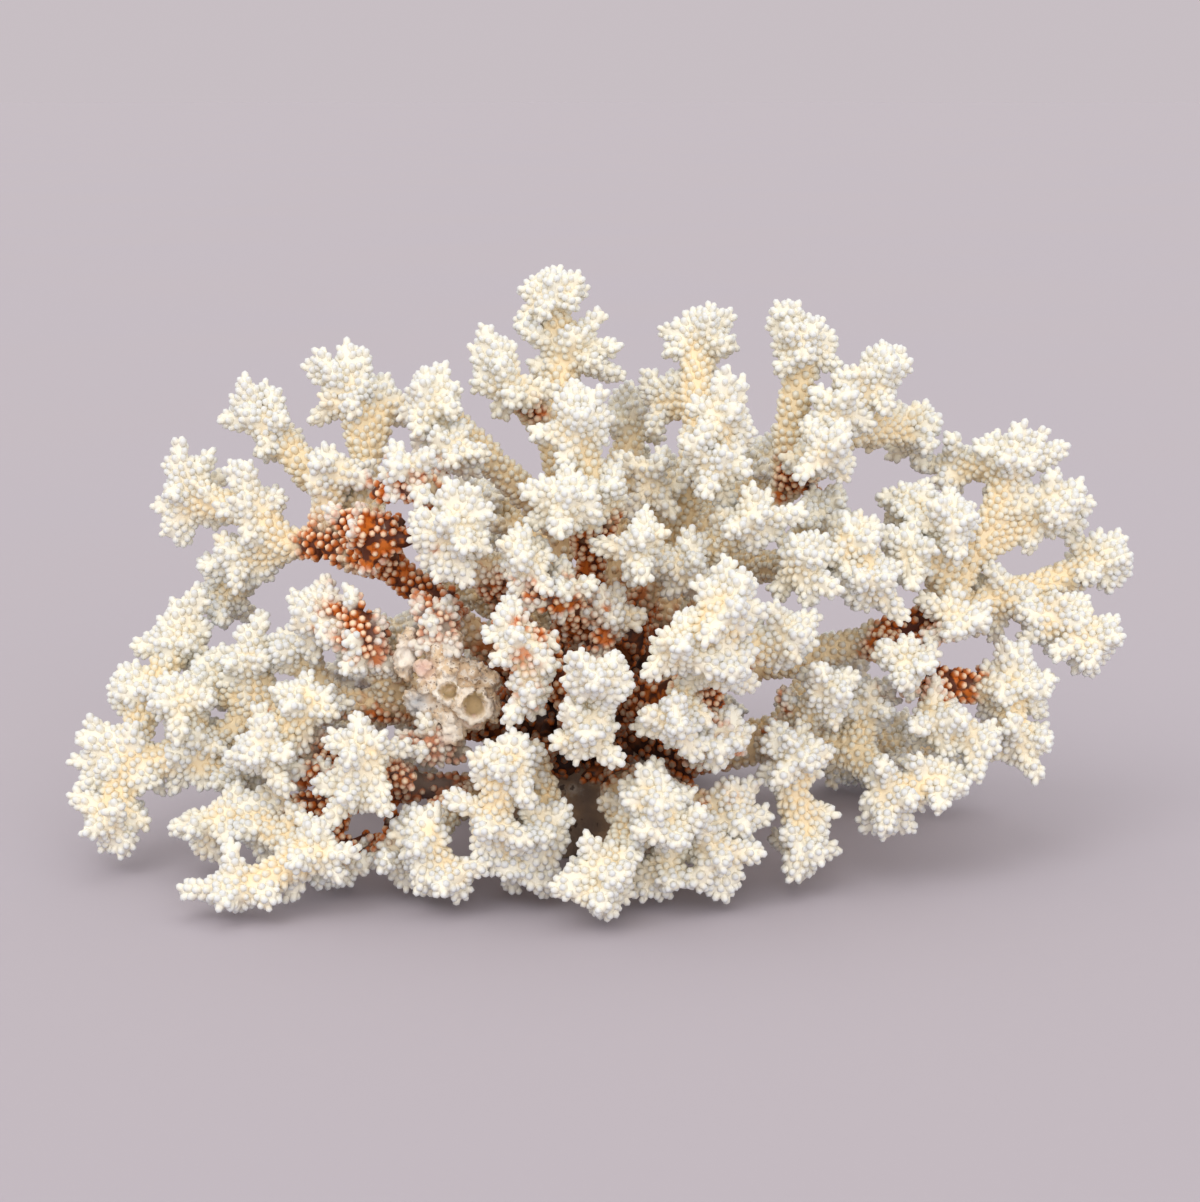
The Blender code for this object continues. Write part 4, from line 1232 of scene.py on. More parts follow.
    def _lay_nodes(self) -> None:
        """Lay the tree: both sorts of knob over the core, made real and joined to it."""
        link = self.tree.links.new
        source = self._node("NodeGroupInput")
        result = self._node("NodeGroupOutput")
        knob = self._node("GeometryNodeObjectInfo")
        knob.inputs["Object"].default_value = self.knob
        both = self._node("GeometryNodeJoinGeometry")
        youth = self._named("youth", "FLOAT")
        for sort in self.rule.sorts:
            spread = self._spread(sort, source, youth)
            link(self._copies(sort, spread, knob), both.inputs["Geometry"])
        real = self._node("GeometryNodeRealizeInstances")
        whole = self._node("GeometryNodeJoinGeometry")
        link(both.outputs["Geometry"], real.inputs["Geometry"])
        link(real.outputs["Geometry"], whole.inputs["Geometry"])
        link(source.outputs["Core"], whole.inputs["Geometry"])
        link(whole.outputs["Geometry"], result.inputs["Knobby core"])

    def cover(self, core: bpy.types.Object, seed: int) -> None:
        """Set knobs over a core, in its own mesh.

        Args:
            core: The core, with the attributes youth, room and lean.
            seed: The source of chance for this piece.
        """
        scatter = core.modifiers.new("knobs", "NODES")
        scatter.node_group = self.tree
        scatter[self.seed] = seed
        apply_modifiers(core)
        shade_smooth(core)

    def put_away(self) -> None:
        """Delete the knob that was copied, and the tree."""
        bpy.data.objects.remove(self.knob, do_unlink=True)
        bpy.data.node_groups.remove(self.tree)


@dataclass(frozen=True)
class Patches:
    """A cloud pattern: its width in millimetres and detail, where it sets in and fills, and its share."""

    size: float
    detail: float
    low: float
    high: float
    share: float = 1.0


@dataclass(frozen=True)
class Grain:
    """A fine relief in the shading: its width in millimetres, detail, depth and how much of it shows."""

    size: float
    detail: float
    depth: float
    strength: float


class ShaderSheet:
    """A material's nodes, with short calls to add and join them."""

    def __init__(self, name: str) -> None:
        """Start a material.

        Args:
            name: Its name.
        """
        self.material = bpy.data.materials.new(name)
        self.material.use_nodes = True
        self.tree = self.material.node_tree
        self.shader = self.tree.nodes["Principled BSDF"]
        self.coordinates = self.tree.nodes.new("ShaderNodeTexCoord").outputs["Object"]

    def _feed(self, socket: bpy.types.NodeSocket, value: object) -> None:
        """Join a socket to another, or set its value."""
        if isinstance(value, bpy.types.NodeSocket):
            self.tree.links.new(value, socket)
        else:
            socket.default_value = value

    def attribute(self, name: str) -> bpy.types.NodeSocket:
        """Read a number kept on the mesh."""
        node = self.tree.nodes.new("ShaderNodeAttribute")
        node.attribute_name = name
        return node.outputs["Fac"]

    def mix(self, share: object, low: object, high: object) -> bpy.types.NodeSocket:
        """Mix two colours.

        Args:
            share: The second one's share.
            low: The first colour, as three numbers or a socket.
            high: The second colour.

        Returns:
            The mixed colour.
        """
        node = self.tree.nodes.new("ShaderNodeMix")
        node.data_type = "RGBA"
        self._feed(node.inputs["Factor"], share)
        for name, colour in (("A", low), ("B", high)):
            socket = next(item for item in node.inputs if item.name == name and item.type == "RGBA")
            self._feed(socket, colour if isinstance(colour, bpy.types.NodeSocket) else (*colour, 1.0))
        return next(item for item in node.outputs if item.type == "RGBA")

    def step(self, value: object, low: float, high: float, top: float = 1.0) -> bpy.types.NodeSocket:
        """Rise smoothly from 0 at low to top at high."""
        node = self.tree.nodes.new("ShaderNodeMapRange")
        node.interpolation_type = "SMOOTHSTEP"
        self._feed(node.inputs["Value"], value)
        node.inputs["From Min"].default_value = low
        node.inputs["From Max"].default_value = high
        node.inputs["To Max"].default_value = top
        return node.outputs["Result"]

    def noise(self, size: float, detail: float) -> bpy.types.NodeSocket:
        """A cloud pattern whose blotches are about size millimetres wide."""
        node = self.tree.nodes.new("ShaderNodeTexNoise")
        self._feed(node.inputs["Vector"], self.coordinates)
        node.inputs["Scale"].default_value = 1.0 / (size * MM)
        node.inputs["Detail"].default_value = detail
        return node.outputs["Fac"]

    def patches(self, pattern: Patches) -> bpy.types.NodeSocket:
        """How strongly each place lies in a pattern's blotches."""
        clouds_there = self.noise(pattern.size, pattern.detail)
        return self.step(clouds_there, pattern.low, pattern.high, pattern.share)

    def _sum(self, operation: str, one: object, other: object) -> bpy.types.NodeSocket:
        """Join two numbers by a sum of that kind."""
        node = self.tree.nodes.new("ShaderNodeMath")
        node.operation = operation
        self._feed(node.inputs[0], one)
        self._feed(node.inputs[1], other)
        return node.outputs["Value"]

    def times(self, one: object, other: object) -> bpy.types.NodeSocket:
        """Multiply two numbers."""
        return self._sum("MULTIPLY", one, other)

    def plus(self, one: object, other: object) -> bpy.types.NodeSocket:
        """Add two numbers."""
        return self._sum("ADD", one, other)

    def colour(self, value: bpy.types.NodeSocket) -> None:
        """Give the shader its colour."""
        self.tree.links.new(value, self.shader.inputs["Base Color"])

    def roughness(self, share: bpy.types.NodeSocket, low: float, high: float) -> None:
        """Let the roughness go from low to high with a share."""
        node = self.tree.nodes.new("ShaderNodeMapRange")
        self._feed(node.inputs["Value"], share)
        node.inputs["To Min"].default_value = low
        node.inputs["To Max"].default_value = high
        self.tree.links.new(node.outputs["Result"], self.shader.inputs["Roughness"])

    def bump(self, grain: Grain) -> None:
        """Roughen the surface's shading."""
        height = self.noise(grain.size, grain.detail)
        node = self.tree.nodes.new("ShaderNodeBump")
        node.inputs["Strength"].default_value = grain.strength
        node.inputs["Distance"].default_value = grain.depth * MM
        self._feed(node.inputs["Height"], height)
        self.tree.links.new(node.outputs["Normal"], self.shader.inputs["Normal"])


@dataclass(frozen=True)
class CoralFinish:
    """Bleached coral: white knob tips over cream and tan hollows, the hollows painted lighter than the tips
    as painted light between the knobs; brown where algae have stained it, darkened by painted shade towards
    the heart.
    """

    # Painted light: the hollows are lighter and creamier than the knob tips, standing in for light that
    # passes through and bounces between the knobs; the tips are kept greyer to hold back their highlights
    young_hollow_painted_light: Colour = (0.89, 0.85, 0.745)
    old_hollow_painted_light: Colour = (0.90, 0.72, 0.45)
    young_knob: Colour = (0.715, 0.735, 0.765)
    old_knob: Colour = (0.79, 0.75, 0.63)
    rust_hollow: Colour = (0.095, 0.018, 0.004)
    rust_slope: Colour = (0.56, 0.135, 0.014)
    rust_knob: Colour = (0.94, 0.72, 0.51)
    # Painted shade: near black towards the heart, over its dark brown stain, for the shade in the colony's
    # middle
    deep_hollow: Colour = (0.022, 0.008, 0.005)
    deep_knob: Colour = (0.075, 0.022, 0.007)
    # Painted shade: tan over the unstained heads near the heart, for heads lying in shade
    inner_shade_tan: Colour = (0.66, 0.43, 0.24)
    inner_shade_share: float = 0.8
    orange: Colour = (0.64, 0.16, 0.012)
    cream: Colour = (0.79, 0.77, 0.68)
    chalk: Colour = (0.80, 0.74, 0.66)
    hollow_youth: Span = (0.45, 1.0)
    knob_youth: Span = (0.4, 0.92)
    knob_heights: Span = (0.12, 0.95)
    blotches: Patches = Patches(26.0, 2.0, 0.42, 0.6, 0.8)
    blotch_youth: Span = (1.0, 0.75)
    mottle_size: float = 5.0
    mottle_detail: float = 3.0
    orange_mottle: Span = (0.5, 0.62)
    slope_heights: Span = (0.0, 0.35)
    tip_heights: Span = (0.4, 0.9)
    ragged_edge: float = 0.5
    stained_from: Span = (0.5, 0.72)
    grain: Grain = Grain(0.7, 4.0, 0.2, 0.25)
    roughness: float = 0.78
    rust_roughness: float = 0.5

    def make(self) -> bpy.types.Material:
        """Build the material.

        Returns:
            The material.
        """
        sheet = ShaderSheet("bleached_coral")
        mottle = sheet.noise(self.mottle_size, self.mottle_detail)
        rust = sheet.attribute("rust")
        edge = sheet.plus(rust, sheet.times(mottle, self.ragged_edge))
        stain = sheet.step(edge, *self.stained_from)
        # Both the clean and the stained colour hold painted shade towards the heart
        stained = sheet.mix(stain, self._clean(sheet), self._rusty(sheet, mottle))
        sheet.colour(sheet.mix(sheet.attribute("chalk"), stained, self.chalk))
        sheet.roughness(rust, self.roughness, self.rust_roughness)
        sheet.bump(self.grain)
        return sheet.material

    def _clean(self, sheet: ShaderSheet) -> bpy.types.NodeSocket:
        """The colour of coral that no algae have stained: paler to its tips, tan near the heart partly as
        painted shade, with painted light in the hollows between the knobs.
        """
        youth = sheet.attribute("youth")
        blotches = sheet.times(sheet.patches(self.blotches), sheet.step(youth, *self.blotch_youth))
        # Painted light: the hollow colours, lighter than the knob tips, for light between the knobs
        hollow = sheet.mix(sheet.step(youth, *self.hollow_youth), self.old_hollow_painted_light, self.young_hollow_painted_light)
        knob = sheet.mix(sheet.step(youth, *self.knob_youth), self.old_knob, self.young_knob)
        knob = sheet.mix(blotches, knob, self.cream)
        # From hollow to tip by height on the knob: the painted light of the hollows under the greyer tips
        clean = sheet.mix(sheet.step(sheet.attribute("height"), *self.knob_heights), hollow, knob)
        # Painted shade: unstained coral turns tan towards the heart
        return sheet.mix(sheet.times(sheet.attribute("deep"), self.inner_shade_share), clean, self.inner_shade_tan)

    def _rusty(self, sheet: ShaderSheet, mottle: bpy.types.NodeSocket) -> bpy.types.NodeSocket:
        """The colour of stained coral: dark or orange hollows, orange slopes and peach tips, darkened near
        black by painted shade towards the heart.
        """
        height = sheet.attribute("height")
        deep = sheet.attribute("deep")
        hollow = sheet.mix(sheet.step(mottle, *self.orange_mottle), self.rust_hollow, self.orange)
        # Painted shade: stained coral turns near black towards the heart
        hollow = sheet.mix(deep, hollow, self.deep_hollow)
        knob = sheet.mix(deep, self.rust_knob, self.deep_knob)
        slope = sheet.mix(sheet.step(height, *self.slope_heights), hollow, self.rust_slope)
        return sheet.mix(sheet.step(height, *self.tip_heights), slope, knob)


@dataclass(frozen=True)
class StoneFinish:
    """The grey-brown stone of the foot, with tan and pale crust and dark spots."""

    stone: Colour = (0.25, 0.18, 0.135)
    tan: Colour = (0.52, 0.34, 0.20)
    pale: Colour = (0.66, 0.58, 0.49)
    dark: Colour = (0.07, 0.035, 0.02)
    tan_patches: Patches = Patches(16.0, 3.0, 0.4, 0.62)
    pale_patches: Patches = Patches(6.0, 4.0, 0.52, 0.7, 0.8)
    dark_spots: Patches = Patches(3.0, 2.0, 0.62, 0.7, 0.85)
    wear_size: float = 5.0
    wear_detail: float = 2.0
    roughness: Span = (0.7, 0.95)
    grain: Grain = Grain(1.4, 5.0, 0.8, 0.6)

    def make(self) -> bpy.types.Material:
        """Build the material.

        Returns:
            The material.
        """
        sheet = ShaderSheet("base_stone")
        ground = sheet.mix(sheet.patches(self.tan_patches), self.stone, self.tan)
        ground = sheet.mix(sheet.patches(self.pale_patches), ground, self.pale)
        ground = sheet.mix(sheet.patches(self.dark_spots), ground, self.dark)
        sheet.colour(ground)
        sheet.roughness(sheet.noise(self.wear_size, self.wear_detail), *self.roughness)
        sheet.bump(self.grain)
        return sheet.material


@dataclass(frozen=True)
class CrustFinish:
    """Chalky worm crust: off-white and beige with dark specks, in places pink or slate, with tan bores."""

    chalk: Colour = (0.88, 0.82, 0.74)
    beige: Colour = (0.70, 0.53, 0.36)
    speck: Colour = (0.20, 0.11, 0.055)
    pink: Colour = (0.70, 0.47, 0.39)
    slate: Colour = (0.42, 0.43, 0.46)
    bore: Colour = (0.50, 0.38, 0.21)
    chalk_patches: Patches = Patches(2.2, 3.0, 0.45, 0.6, 0.75)
    specks: Patches = Patches(1.1, 2.0, 0.57, 0.67, 0.8)
    wear_size: float = 3.0
    wear_detail: float = 2.0
    roughness: Span = (0.65, 0.9)
    grain: Grain = Grain(0.8, 4.0, 0.3, 0.5)

    def make(self) -> bpy.types.Material:
        """Build the material.

        Returns:
            The material.
        """
        sheet = ShaderSheet("worm_crust")
        ground = sheet.mix(sheet.patches(self.chalk_patches), self.beige, self.chalk)
        ground = sheet.mix(sheet.patches(self.specks), ground, self.speck)
        ground = sheet.mix(sheet.attribute("pink"), ground, self.pink)
        ground = sheet.mix(sheet.attribute("slate"), ground, self.slate)
        ground = sheet.mix(sheet.attribute("rim"), ground, self.chalk)
        sheet.colour(sheet.mix(sheet.attribute("bore"), ground, self.bore))
        sheet.roughness(sheet.noise(self.wear_size, self.wear_detail), *self.roughness)
        sheet.bump(self.grain)
        return sheet.material


@dataclass(frozen=True)
class FloorFinish:
    """A plain pale lavender-grey sweep."""

    paper: Colour = (0.443, 0.406, 0.475)
    warm_paper: Colour = (0.455, 0.408, 0.458)
    warm_patches: Patches = Patches(400.0, 1.0, 0.3, 0.7, 0.3)
    roughness: float = 0.9

    def make(self) -> bpy.types.Material:
        """Build the material.

        Returns:
            The material.
        """
        sheet = ShaderSheet("floor_paper")
        sheet.colour(sheet.mix(sheet.patches(self.warm_patches), self.paper, self.warm_paper))
        sheet.shader.inputs["Roughness"].default_value = self.roughness
        return sheet.material


class Mark(Enum):
    """What a spot of colour on the coral is."""

    RUST = "rust"
    CHALK = "chalk"


@dataclass(frozen=True)
class Spot:
    """A soft round spot at a place on the drawing sheet, in millimetres: its depth, radius and strength."""

    across: float
    up: float
    depth: float
    radius: float
    strength: float


# Where algae have stained the coral rust brown or orange
RUST_SPOTS = (
    Spot(-64, 103, -40, 22, 0.9), Spot(-73, 118, -35, 12, 0.8), Spot(-60, 82, -45, 24, 0.75),
    Spot(-83, 96, -20, 12, 0.6), Spot(-68, 24, -48, 24, 0.85), Spot(-55, 29, -52, 16, 0.9),
    Spot(-95, 9, -25, 12, 0.7), Spot(-96, 44, -25, 9, 0.6), Spot(-75, 58, -45, 9, 0.5),
    Spot(-22, 66, -55, 26, 0.75), Spot(-8, 99, -30, 20, 0.8), Spot(55, 114, -10, 12, 0.7),
    Spot(28, 48, -50, 26, 0.8), Spot(54, 50, -30, 12, 0.7), Spot(96, 63, -25, 17, 0.9),
    Spot(104, 61, -20, 13, 0.9), Spot(-20, 138, -10, 8, 0.5), Spot(-19, 118, -30, 10, 0.6),
)
# Where worms and stone dust have turned it chalky
CHALK_SPOTS = (
    Spot(-45, 60, -56, 14, 0.55), Spot(-55, 68, -50, 9, 0.6), Spot(-50, 34, -52, 11, 0.5),
)


@dataclass(frozen=True)
class StainRule:
    """How stains and the painted inner shade follow youth and the distance from the heart, and where knobs
    thin out, in millimetres.
    """

    brown_core: float = 78.0
    core_youth: Span = (0.5, 0.8)
    spot_youth: Span = (0.86, 1.12)
    spot_spread: float = 1.8
    # How far from the heart the painted shade reaches
    deep_reach: float = 90.0
    inner_reach: float = 82.0
    bare_share: float = 0.45
    bare_fade: float = 0.8
    hidden_from: float = 0.6
    hidden_depth: float = 1.2
    far_outside: float = 99.0
    old_lean: float = 0.35
    added_lean: float = 0.65
    chunk: int = 2000


class Stains:
    """Gives each vertex of a core its youth, stains, painted inner shade, room for knobs and the way they
    lean.
    """

    def __init__(self, rule: StainRule, fingers: dict[str, list[Finger]]) -> None:
        """Keep every piece's fingers, to know what hides inside another piece.

        Args:
            rule: How stains spread and knobs thin out and lean.
            fingers: Each piece's fingers.
        """
        self.rule = rule
        self.arrays = {name: FingerArray.of(of_piece) for name, of_piece in fingers.items()}
        self.spots = {Mark.RUST: RUST_SPOTS, Mark.CHALK: CHALK_SPOTS}

    def _spotted(self, places: np.ndarray, mark: Mark) -> np.ndarray:
        """How strongly each place lies in spots of that mark."""
        share = np.zeros(len(places))
        for spot in self.spots[mark]:
            middle = np.array(SHEET.place(spot.across, spot.up, spot.depth)[:])
            distance = np.linalg.norm(places - middle, axis=1)
            share = np.maximum(share, spot.strength * fade(distance, spot.radius * self.rule.spot_spread))
        return share

    @staticmethod
    def _old(youth: np.ndarray, limits: Span) -> np.ndarray:
        """1 below the lower limit of youth, falling to 0 at the upper."""
        return 1.0 - np.clip((youth - limits[0]) / (limits[1] - limits[0]), 0.0, 1.0)

    def _hidden(self, name: str, places: np.ndarray) -> np.ndarray:
        """How far each place lies inside other pieces, in millimetres."""
        depth = np.full(len(places), -self.rule.far_outside)
        low, high = places.min(0), places.max(0)
        for other, array in self.arrays.items():
            if other == name:
                continue
            near = array.near(low, high)
            if len(near.start):
                for first in range(0, len(places), self.rule.chunk):
                    part = slice(first, first + self.rule.chunk)
                    depth[part] = np.maximum(depth[part], -near.nearest(places[part])[0])
        return depth

    def dress(self, name: str, core: bpy.types.Object) -> None:
        """Store a core's attributes.

        Args:
            name: The piece, by its node.
            core: Its core.
        """
        rule = self.rule
        places = vertex_places(core.data)
        array = self.arrays[name]
        youth = np.empty(len(places))
        way = np.empty((len(places), 3))
        for first in range(0, len(places), rule.chunk):
            part = slice(first, first + rule.chunk)
            _, youth[part], way[part] = array.nearest(places[part])
        from_heart = np.linalg.norm(places - np.array(HEART[:]), axis=1)
        spot_rust = self._spotted(places, Mark.RUST) * self._old(youth, rule.spot_youth)
        core_rust = fade(from_heart, rule.brown_core) * self._old(youth, rule.core_youth)
        rust = np.maximum(np.maximum(spot_rust, core_rust), fade(from_heart, rule.inner_reach))
        hidden = self._hidden(name, places)
        room = 1.0 - np.clip((hidden - rule.hidden_from) / rule.hidden_depth, 0.0, 1.0)
        store(core.data, "youth", youth)
        store(core.data, "rust", rust)
        # Painted shade, strongest at the heart and gone at its reach
        store(core.data, "deep", fade(from_heart, rule.deep_reach))
        store(core.data, "chalk", self._spotted(places, Mark.CHALK))
        store(core.data, "room", room * (1.0 - rule.bare_share * fade(1.0 - rust, rule.bare_fade)))
        store(core.data, "lean", way * (rule.old_lean + rule.added_lean * youth)[:, None])


@dataclass(frozen=True)
class HeartRule:
    """The lumps of the heart, the body that all limbs leave, in millimetres."""

    half_sizes: tuple[float, float, float] = (31.0, 25.0, 22.0)
    lumps: int = 26
    lump_radius: float = 7.5
    root_swell: float = 1.6
    golden_turn: float = math.pi * (3.0 - math.sqrt(5.0))
    youth: float = 0.12


def heart_fingers(rule: HeartRule, knob_reach: float) -> list[Finger]:
    """Fat fingers from the heart's middle to its skin, all round.

    Args:
        rule: The lumps.
        knob_reach: How far the knobs stand out.

    Returns:
        The fingers.
    """
    fingers = []
    for index in range(rule.lumps):
        height = 1.0 - 2.0 * (index + 0.5) / rule.lumps
        flat = math.sqrt(1.0 - height * height)
        turn = rule.golden_turn * index
        way = Vector((flat * math.cos(turn), flat * math.sin(turn), height))
        reach = Vector([part * size for part, size in zip(way, rule.half_sizes)])
        end = HEART + reach * (1.0 - (rule.lump_radius + knob_reach) / reach.length)
        fingers.append(Finger(HEART, end, rule.lump_radius * rule.root_swell, rule.lump_radius,
                              rule.youth, rule.youth, Vector((0.0, 0.0, 0.0))))
    return fingers


class Colony:
    """The coral itself: each limb and branch, and the heart, as knobby pieces."""

    def __init__(self, fingers: dict[str, list[Finger]], finish: CoralFinish) -> None:
        """Get ready to build.

        Args:
            fingers: Each piece's fingers, by node, the heart's under holdfast.
            finish: The coral's finish.
        """
        self.fingers = fingers
        self.material = finish.make()
        self.cores = CoreBuilder(CoreRule())
        self.stains = Stains(StainRule(), fingers)

    def build(self) -> list[bpy.types.Object]:
        """Build every piece.

        Returns:
            The pieces.
        """
        scatter = KnobScatter(KnobRule())
        pieces = []
        for seed, (node, fingers) in enumerate(self.fingers.items(), start=1):
            name = "coral_heart" if node == "holdfast" else f"coral_{node}"
            core = self.cores.build(name, fingers)
            self.stains.dress(node, core)
            skin = len(core.data.polygons)
            scatter.cover(core, seed)
            self._finish(core)
            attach(core, BODY)
            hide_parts(node)
            LOG.info("%s: %d faces of skin, %d with its knobs", name, skin, len(core.data.polygons))
            pieces.append(core)
        scatter.put_away()
        return pieces

    def _finish(self, core: bpy.types.Object) -> None:
        """Keep a piece above the floor and dress it."""
        mesh = core.data
        places = vertex_places(mesh)
        places[:, 2] = np.maximum(places[:, 2], LOWEST_KNOB)
        move_vertices(mesh, places)
        mesh.materials.clear()
        mesh.materials.append(self.material)
        mesh.polygons.foreach_set("material_index", np.zeros(len(mesh.polygons), dtype=np.int32))


@dataclass
class Foot:
    """The stone foot on which the colony grew, cut off flat, in millimetres."""

    half_width: float = 39.0
    half_depth: float = 31.0
    lumps: int = 9
    lump_radius: float = 11.0
    lump_segments: int = 20
    lump_rings: int = 12
    lumps_up: tuple[float, ...] = (0.0, 0.33, 0.66, 1.0)
    waist_radius: float = 24.0
    waist_height: float = 14.0
    waist_taper: float = 0.5
    inset: float = 0.6
    voxel: float = 1.5
    relief: float = 2.2
    relief_size: float = 7.0
    relief_detail: int = 4
    relief_middle: float = 0.7
    sharp_edge: float = math.radians(50.0)

    def _bead(self, middle: Vector, radius: float) -> bpy.types.Object:
        """A round lump."""
        deselect_all()
        bpy.ops.mesh.primitive_uv_sphere_add(segments=self.lump_segments, ring_count=self.lump_rings,
                                             radius=radius * MM, location=middle * MM)
        return bpy.context.object

    def build(self, finish: StoneFinish) -> bpy.types.Object:
        """Model the foot from overlapping lumps, roughen it and saw it off at the floor.

        Args:
            finish: Its finish.

        Returns:
            The foot.
        """
        beads = [self._bead(Vector((0.0, 0.0, self.waist_height)), self.waist_radius - self.inset)]
        for index in range(self.lumps):
            angle = math.tau * index / self.lumps
            low = Vector(((self.half_width - self.lump_radius) * math.cos(angle),
                          (self.half_depth - self.lump_radius) * math.sin(angle), 0.0))
            high = Vector((low.x * self.waist_taper, low.y * self.waist_taper, self.waist_height))
            for share in self.lumps_up:
                beads.append(self._bead(low.lerp(high, share), self.lump_radius - self.inset))
        foot = joined(beads, "holdfast_foot")
        add_fuse(foot, self.voxel)
        texture = clouds("foot_relief", self.relief_size, self.relief_detail)
        add_relief(foot, texture, self.relief, self.relief_middle)
        apply_modifiers(foot)
        self._saw_off(foot)
        bpy.ops.object.shade_smooth_by_angle(angle=self.sharp_edge)
        foot.data.materials.append(finish.make())
        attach(foot, BODY)
        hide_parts("holdfast")
        LOG.info("%s: %d faces", foot.name, len(foot.data.polygons))
        return foot

    def _saw_off(self, foot: bpy.types.Object) -> None:
        """Saw the foot off flat at the floor."""
        bpy.context.view_layer.objects.active = foot
        bpy.ops.object.mode_set(mode="EDIT")
        bpy.ops.mesh.select_all(action="SELECT")
        bpy.ops.mesh.bisect(plane_co=(0.0, 0.0, 0.0), plane_no=(0.0, 0.0, 1.0),
                            use_fill=True, clear_inner=True)
        bpy.ops.object.mode_set(mode="OBJECT")


@dataclass(frozen=True)
class Lump:
    """A lump of crust on the drawing sheet: its place, depth and radius in millimetres."""

    across: float
    up: float
    depth: float
    radius: float


@dataclass(frozen=True)
class Tube:
    """A worm tube: its root and mouth on the sheet, its outer radius and its bore's."""

    root: tuple[float, float, float]
    mouth: tuple[float, float, float]
    radius: float
    bore: float


